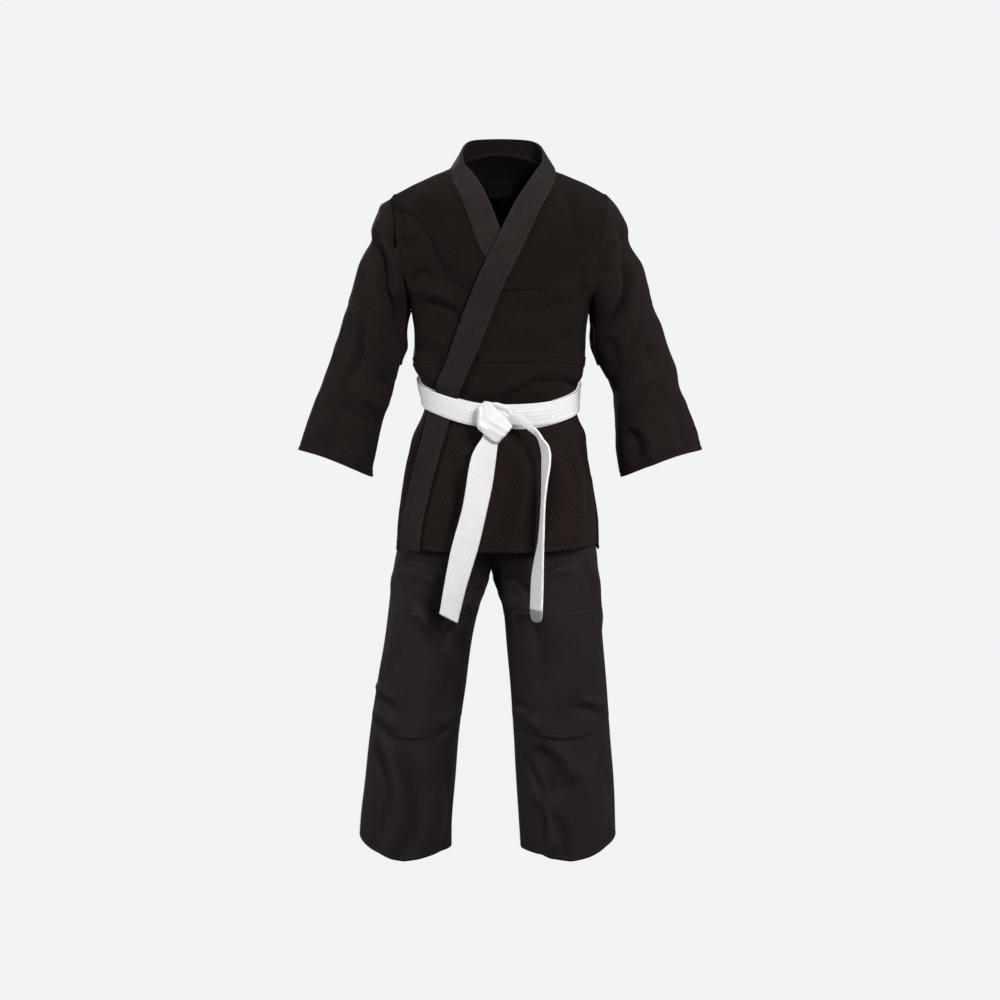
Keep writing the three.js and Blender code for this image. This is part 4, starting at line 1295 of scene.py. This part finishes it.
def cord(keys, radius, rings, turns=10):
    """A twisted cord along smooth points."""
    pts = np.array(keys, float)
    share = arc(pts) / arc(pts)[-1]
    t = np.linspace(0, 1, rings)
    line = np.stack([curve(list(zip(share, pts[:, k])), t) for k in range(3)], -1)
    ahead = unit(np.gradient(line, axis=0))
    side = unit(np.cross(ahead, [0.0, -1.0, 0.15]))
    up = np.cross(side, ahead)
    around = np.linspace(0, 2 * np.pi, turns, endpoint=False)
    lay = np.linspace(0, arc(line)[-1] / 0.004, rings)[:, None]
    size = radius * (1 + 0.16 * np.cos(3 * around[None, :] + lay))
    sideways, upwards = (size * np.cos(around))[..., None], (size * np.sin(around))[..., None]
    ring = line[:, None] + side[:, None] * sideways + up[:, None] * upwards
    points = np.concatenate([ring.reshape(-1, 3), line[:1], line[-1:]])
    index = np.arange(rings * turns).reshape(rings, turns)
    loop = np.concatenate([index, index[:, :1]], axis=1)
    quads = np.stack([loop[:-1, :-1], loop[:-1, 1:], loop[1:, 1:], loop[1:, :-1]], -1).reshape(-1, 4)
    first, last = rings * turns, rings * turns + 1
    start = np.stack([loop[0, 1:], loop[0, :-1], np.full(turns, first), np.full(turns, first)], -1)
    end = np.stack([loop[-1, :-1], loop[-1, 1:], np.full(turns, last), np.full(turns, last)], -1)
    uv = np.concatenate([np.repeat(t, turns), [0.0, 1.0]])[:, None] * arc(line)[-1] * np.array([0.0, 1.0])
    return points, np.concatenate([quads, start, end]), uv


CORD_FRONT = MID_Y - 0.0795
made = Cloth("drawstring_cloth", CORD_CLOTH)
made.add(*cord([
    (0.024, CORD_FRONT - 0.002, 0.747), (0.021, CORD_FRONT, 0.785), (0.010, CORD_FRONT - 0.001, 0.812),
    (-0.004, CORD_FRONT - 0.005, 0.822), (-0.014, CORD_FRONT - 0.003, 0.826),
    (-0.024, CORD_FRONT + 0.003, 0.834),
], 0.0022, 150))
made.add(*cord([
    (-0.0265, CORD_FRONT - 0.002, 0.757), (-0.022, CORD_FRONT, 0.790), (-0.012, CORD_FRONT - 0.001, 0.812),
    (0.003, CORD_FRONT - 0.001, 0.824), (0.014, CORD_FRONT + 0.001, 0.829),
    (0.024, CORD_FRONT + 0.004, 0.835),
], 0.0022, 150))
place(made, ["trousers"], ["drawstring"])


# ---------- stage, light and camera ----------
AMBIENT = 0.22  # the light from all round, as a share of the backdrop's own brightness


def backdrop_material():
    n = Nodes("backdrop_paper")
    space = n.add("ShaderNodeTexCoord").outputs["Object"]
    tone = n.add("ShaderNodeTexNoise", {"Vector": space, "Scale": 0.4, "Detail": 1.0}).outputs["Fac"]
    shade = n.math("MULTIPLY_ADD", tone, 0.004, 0.998)
    colour = n.add("ShaderNodeVectorMath", {0: (0.880, 0.896, 0.913), "Scale": shade}, operation="SCALE")
    seen = n.add("ShaderNodeLightPath").outputs["Is Camera Ray"]
    strength = n.math("MULTIPLY_ADD", seen, 1 - AMBIENT, AMBIENT)
    glow = n.add("ShaderNodeEmission", {"Color": colour.outputs[0], "Strength": strength})
    n.add("ShaderNodeOutputMaterial", {"Surface": glow.outputs[0]})
    return n.material


def stage_plane(name, size, location, rotation, material):
    bpy.ops.mesh.primitive_plane_add(size=size, location=location, rotation=rotation)
    plane = bpy.context.object
    plane.name = name
    plane.data.materials.append(material)
    return plane


stage_plane("floor", 60, (0, 0, -0.012), (0, 0, 0), backdrop_material())

world = bpy.data.worlds.new("studio")
bpy.context.scene.world = world
world.use_nodes = True
background = world.node_tree.nodes["Background"]
background.inputs["Color"].default_value = (0.880, 0.896, 0.913, 1)
seen = world.node_tree.nodes.new("ShaderNodeLightPath")
dim = world.node_tree.nodes.new("ShaderNodeMapRange")
dim.inputs["To Min"].default_value = AMBIENT
world.node_tree.links.new(seen.outputs["Is Camera Ray"], dim.inputs["Value"])
world.node_tree.links.new(dim.outputs[0], background.inputs["Strength"])


def softbox(name, location, aim, size, power):
    light = bpy.data.lights.new(name, "AREA")
    light.shape = "RECTANGLE"
    light.size, light.size_y = size
    light.energy = power
    lamp = bpy.data.objects.new(name, light)
    bpy.context.scene.collection.objects.link(lamp)
    lamp.location = location
    lamp.rotation_euler = (Vector(aim) - Vector(location)).to_track_quat("-Z", "Y").to_euler()
    return lamp


softbox("key", (1.5, -3.0, 2.4), (0, 0, 0.8), (1.0, 1.0), 150)
softbox("left_side", (-2.6, -1.0, 1.5), (0, 0, 0.8), (0.8, 1.8), 60)
softbox("right_side", (2.7, -0.3, 1.2), (0, 0, 0.7), (0.6, 1.8), 30)
softbox("top", (0.0, 0.3, 3.0), (0, 0, 1.0), (1.0, 1.0), 20)
softbox("behind", (-1.2, 3.4, 2.2), (0, 0, 0.8), (1.6, 1.6), 110)

camera = bpy.data.cameras.new("camera")
camera.lens, camera.sensor_width = 75.8, 36
eye = bpy.data.objects.new("camera", camera)
bpy.context.scene.collection.objects.link(eye)
eye.location = (0, MID_Y - 4, 1.07)
eye.rotation_euler = (Vector((0, MID_Y, 0.690)) - eye.location).to_track_quat("-Z", "Y").to_euler()
bpy.context.scene.camera = eye

scene = bpy.context.scene
scene.view_settings.view_transform = "Standard"
scene.view_settings.look = "None"
scene.view_settings.exposure = 0
scene.view_settings.gamma = 1
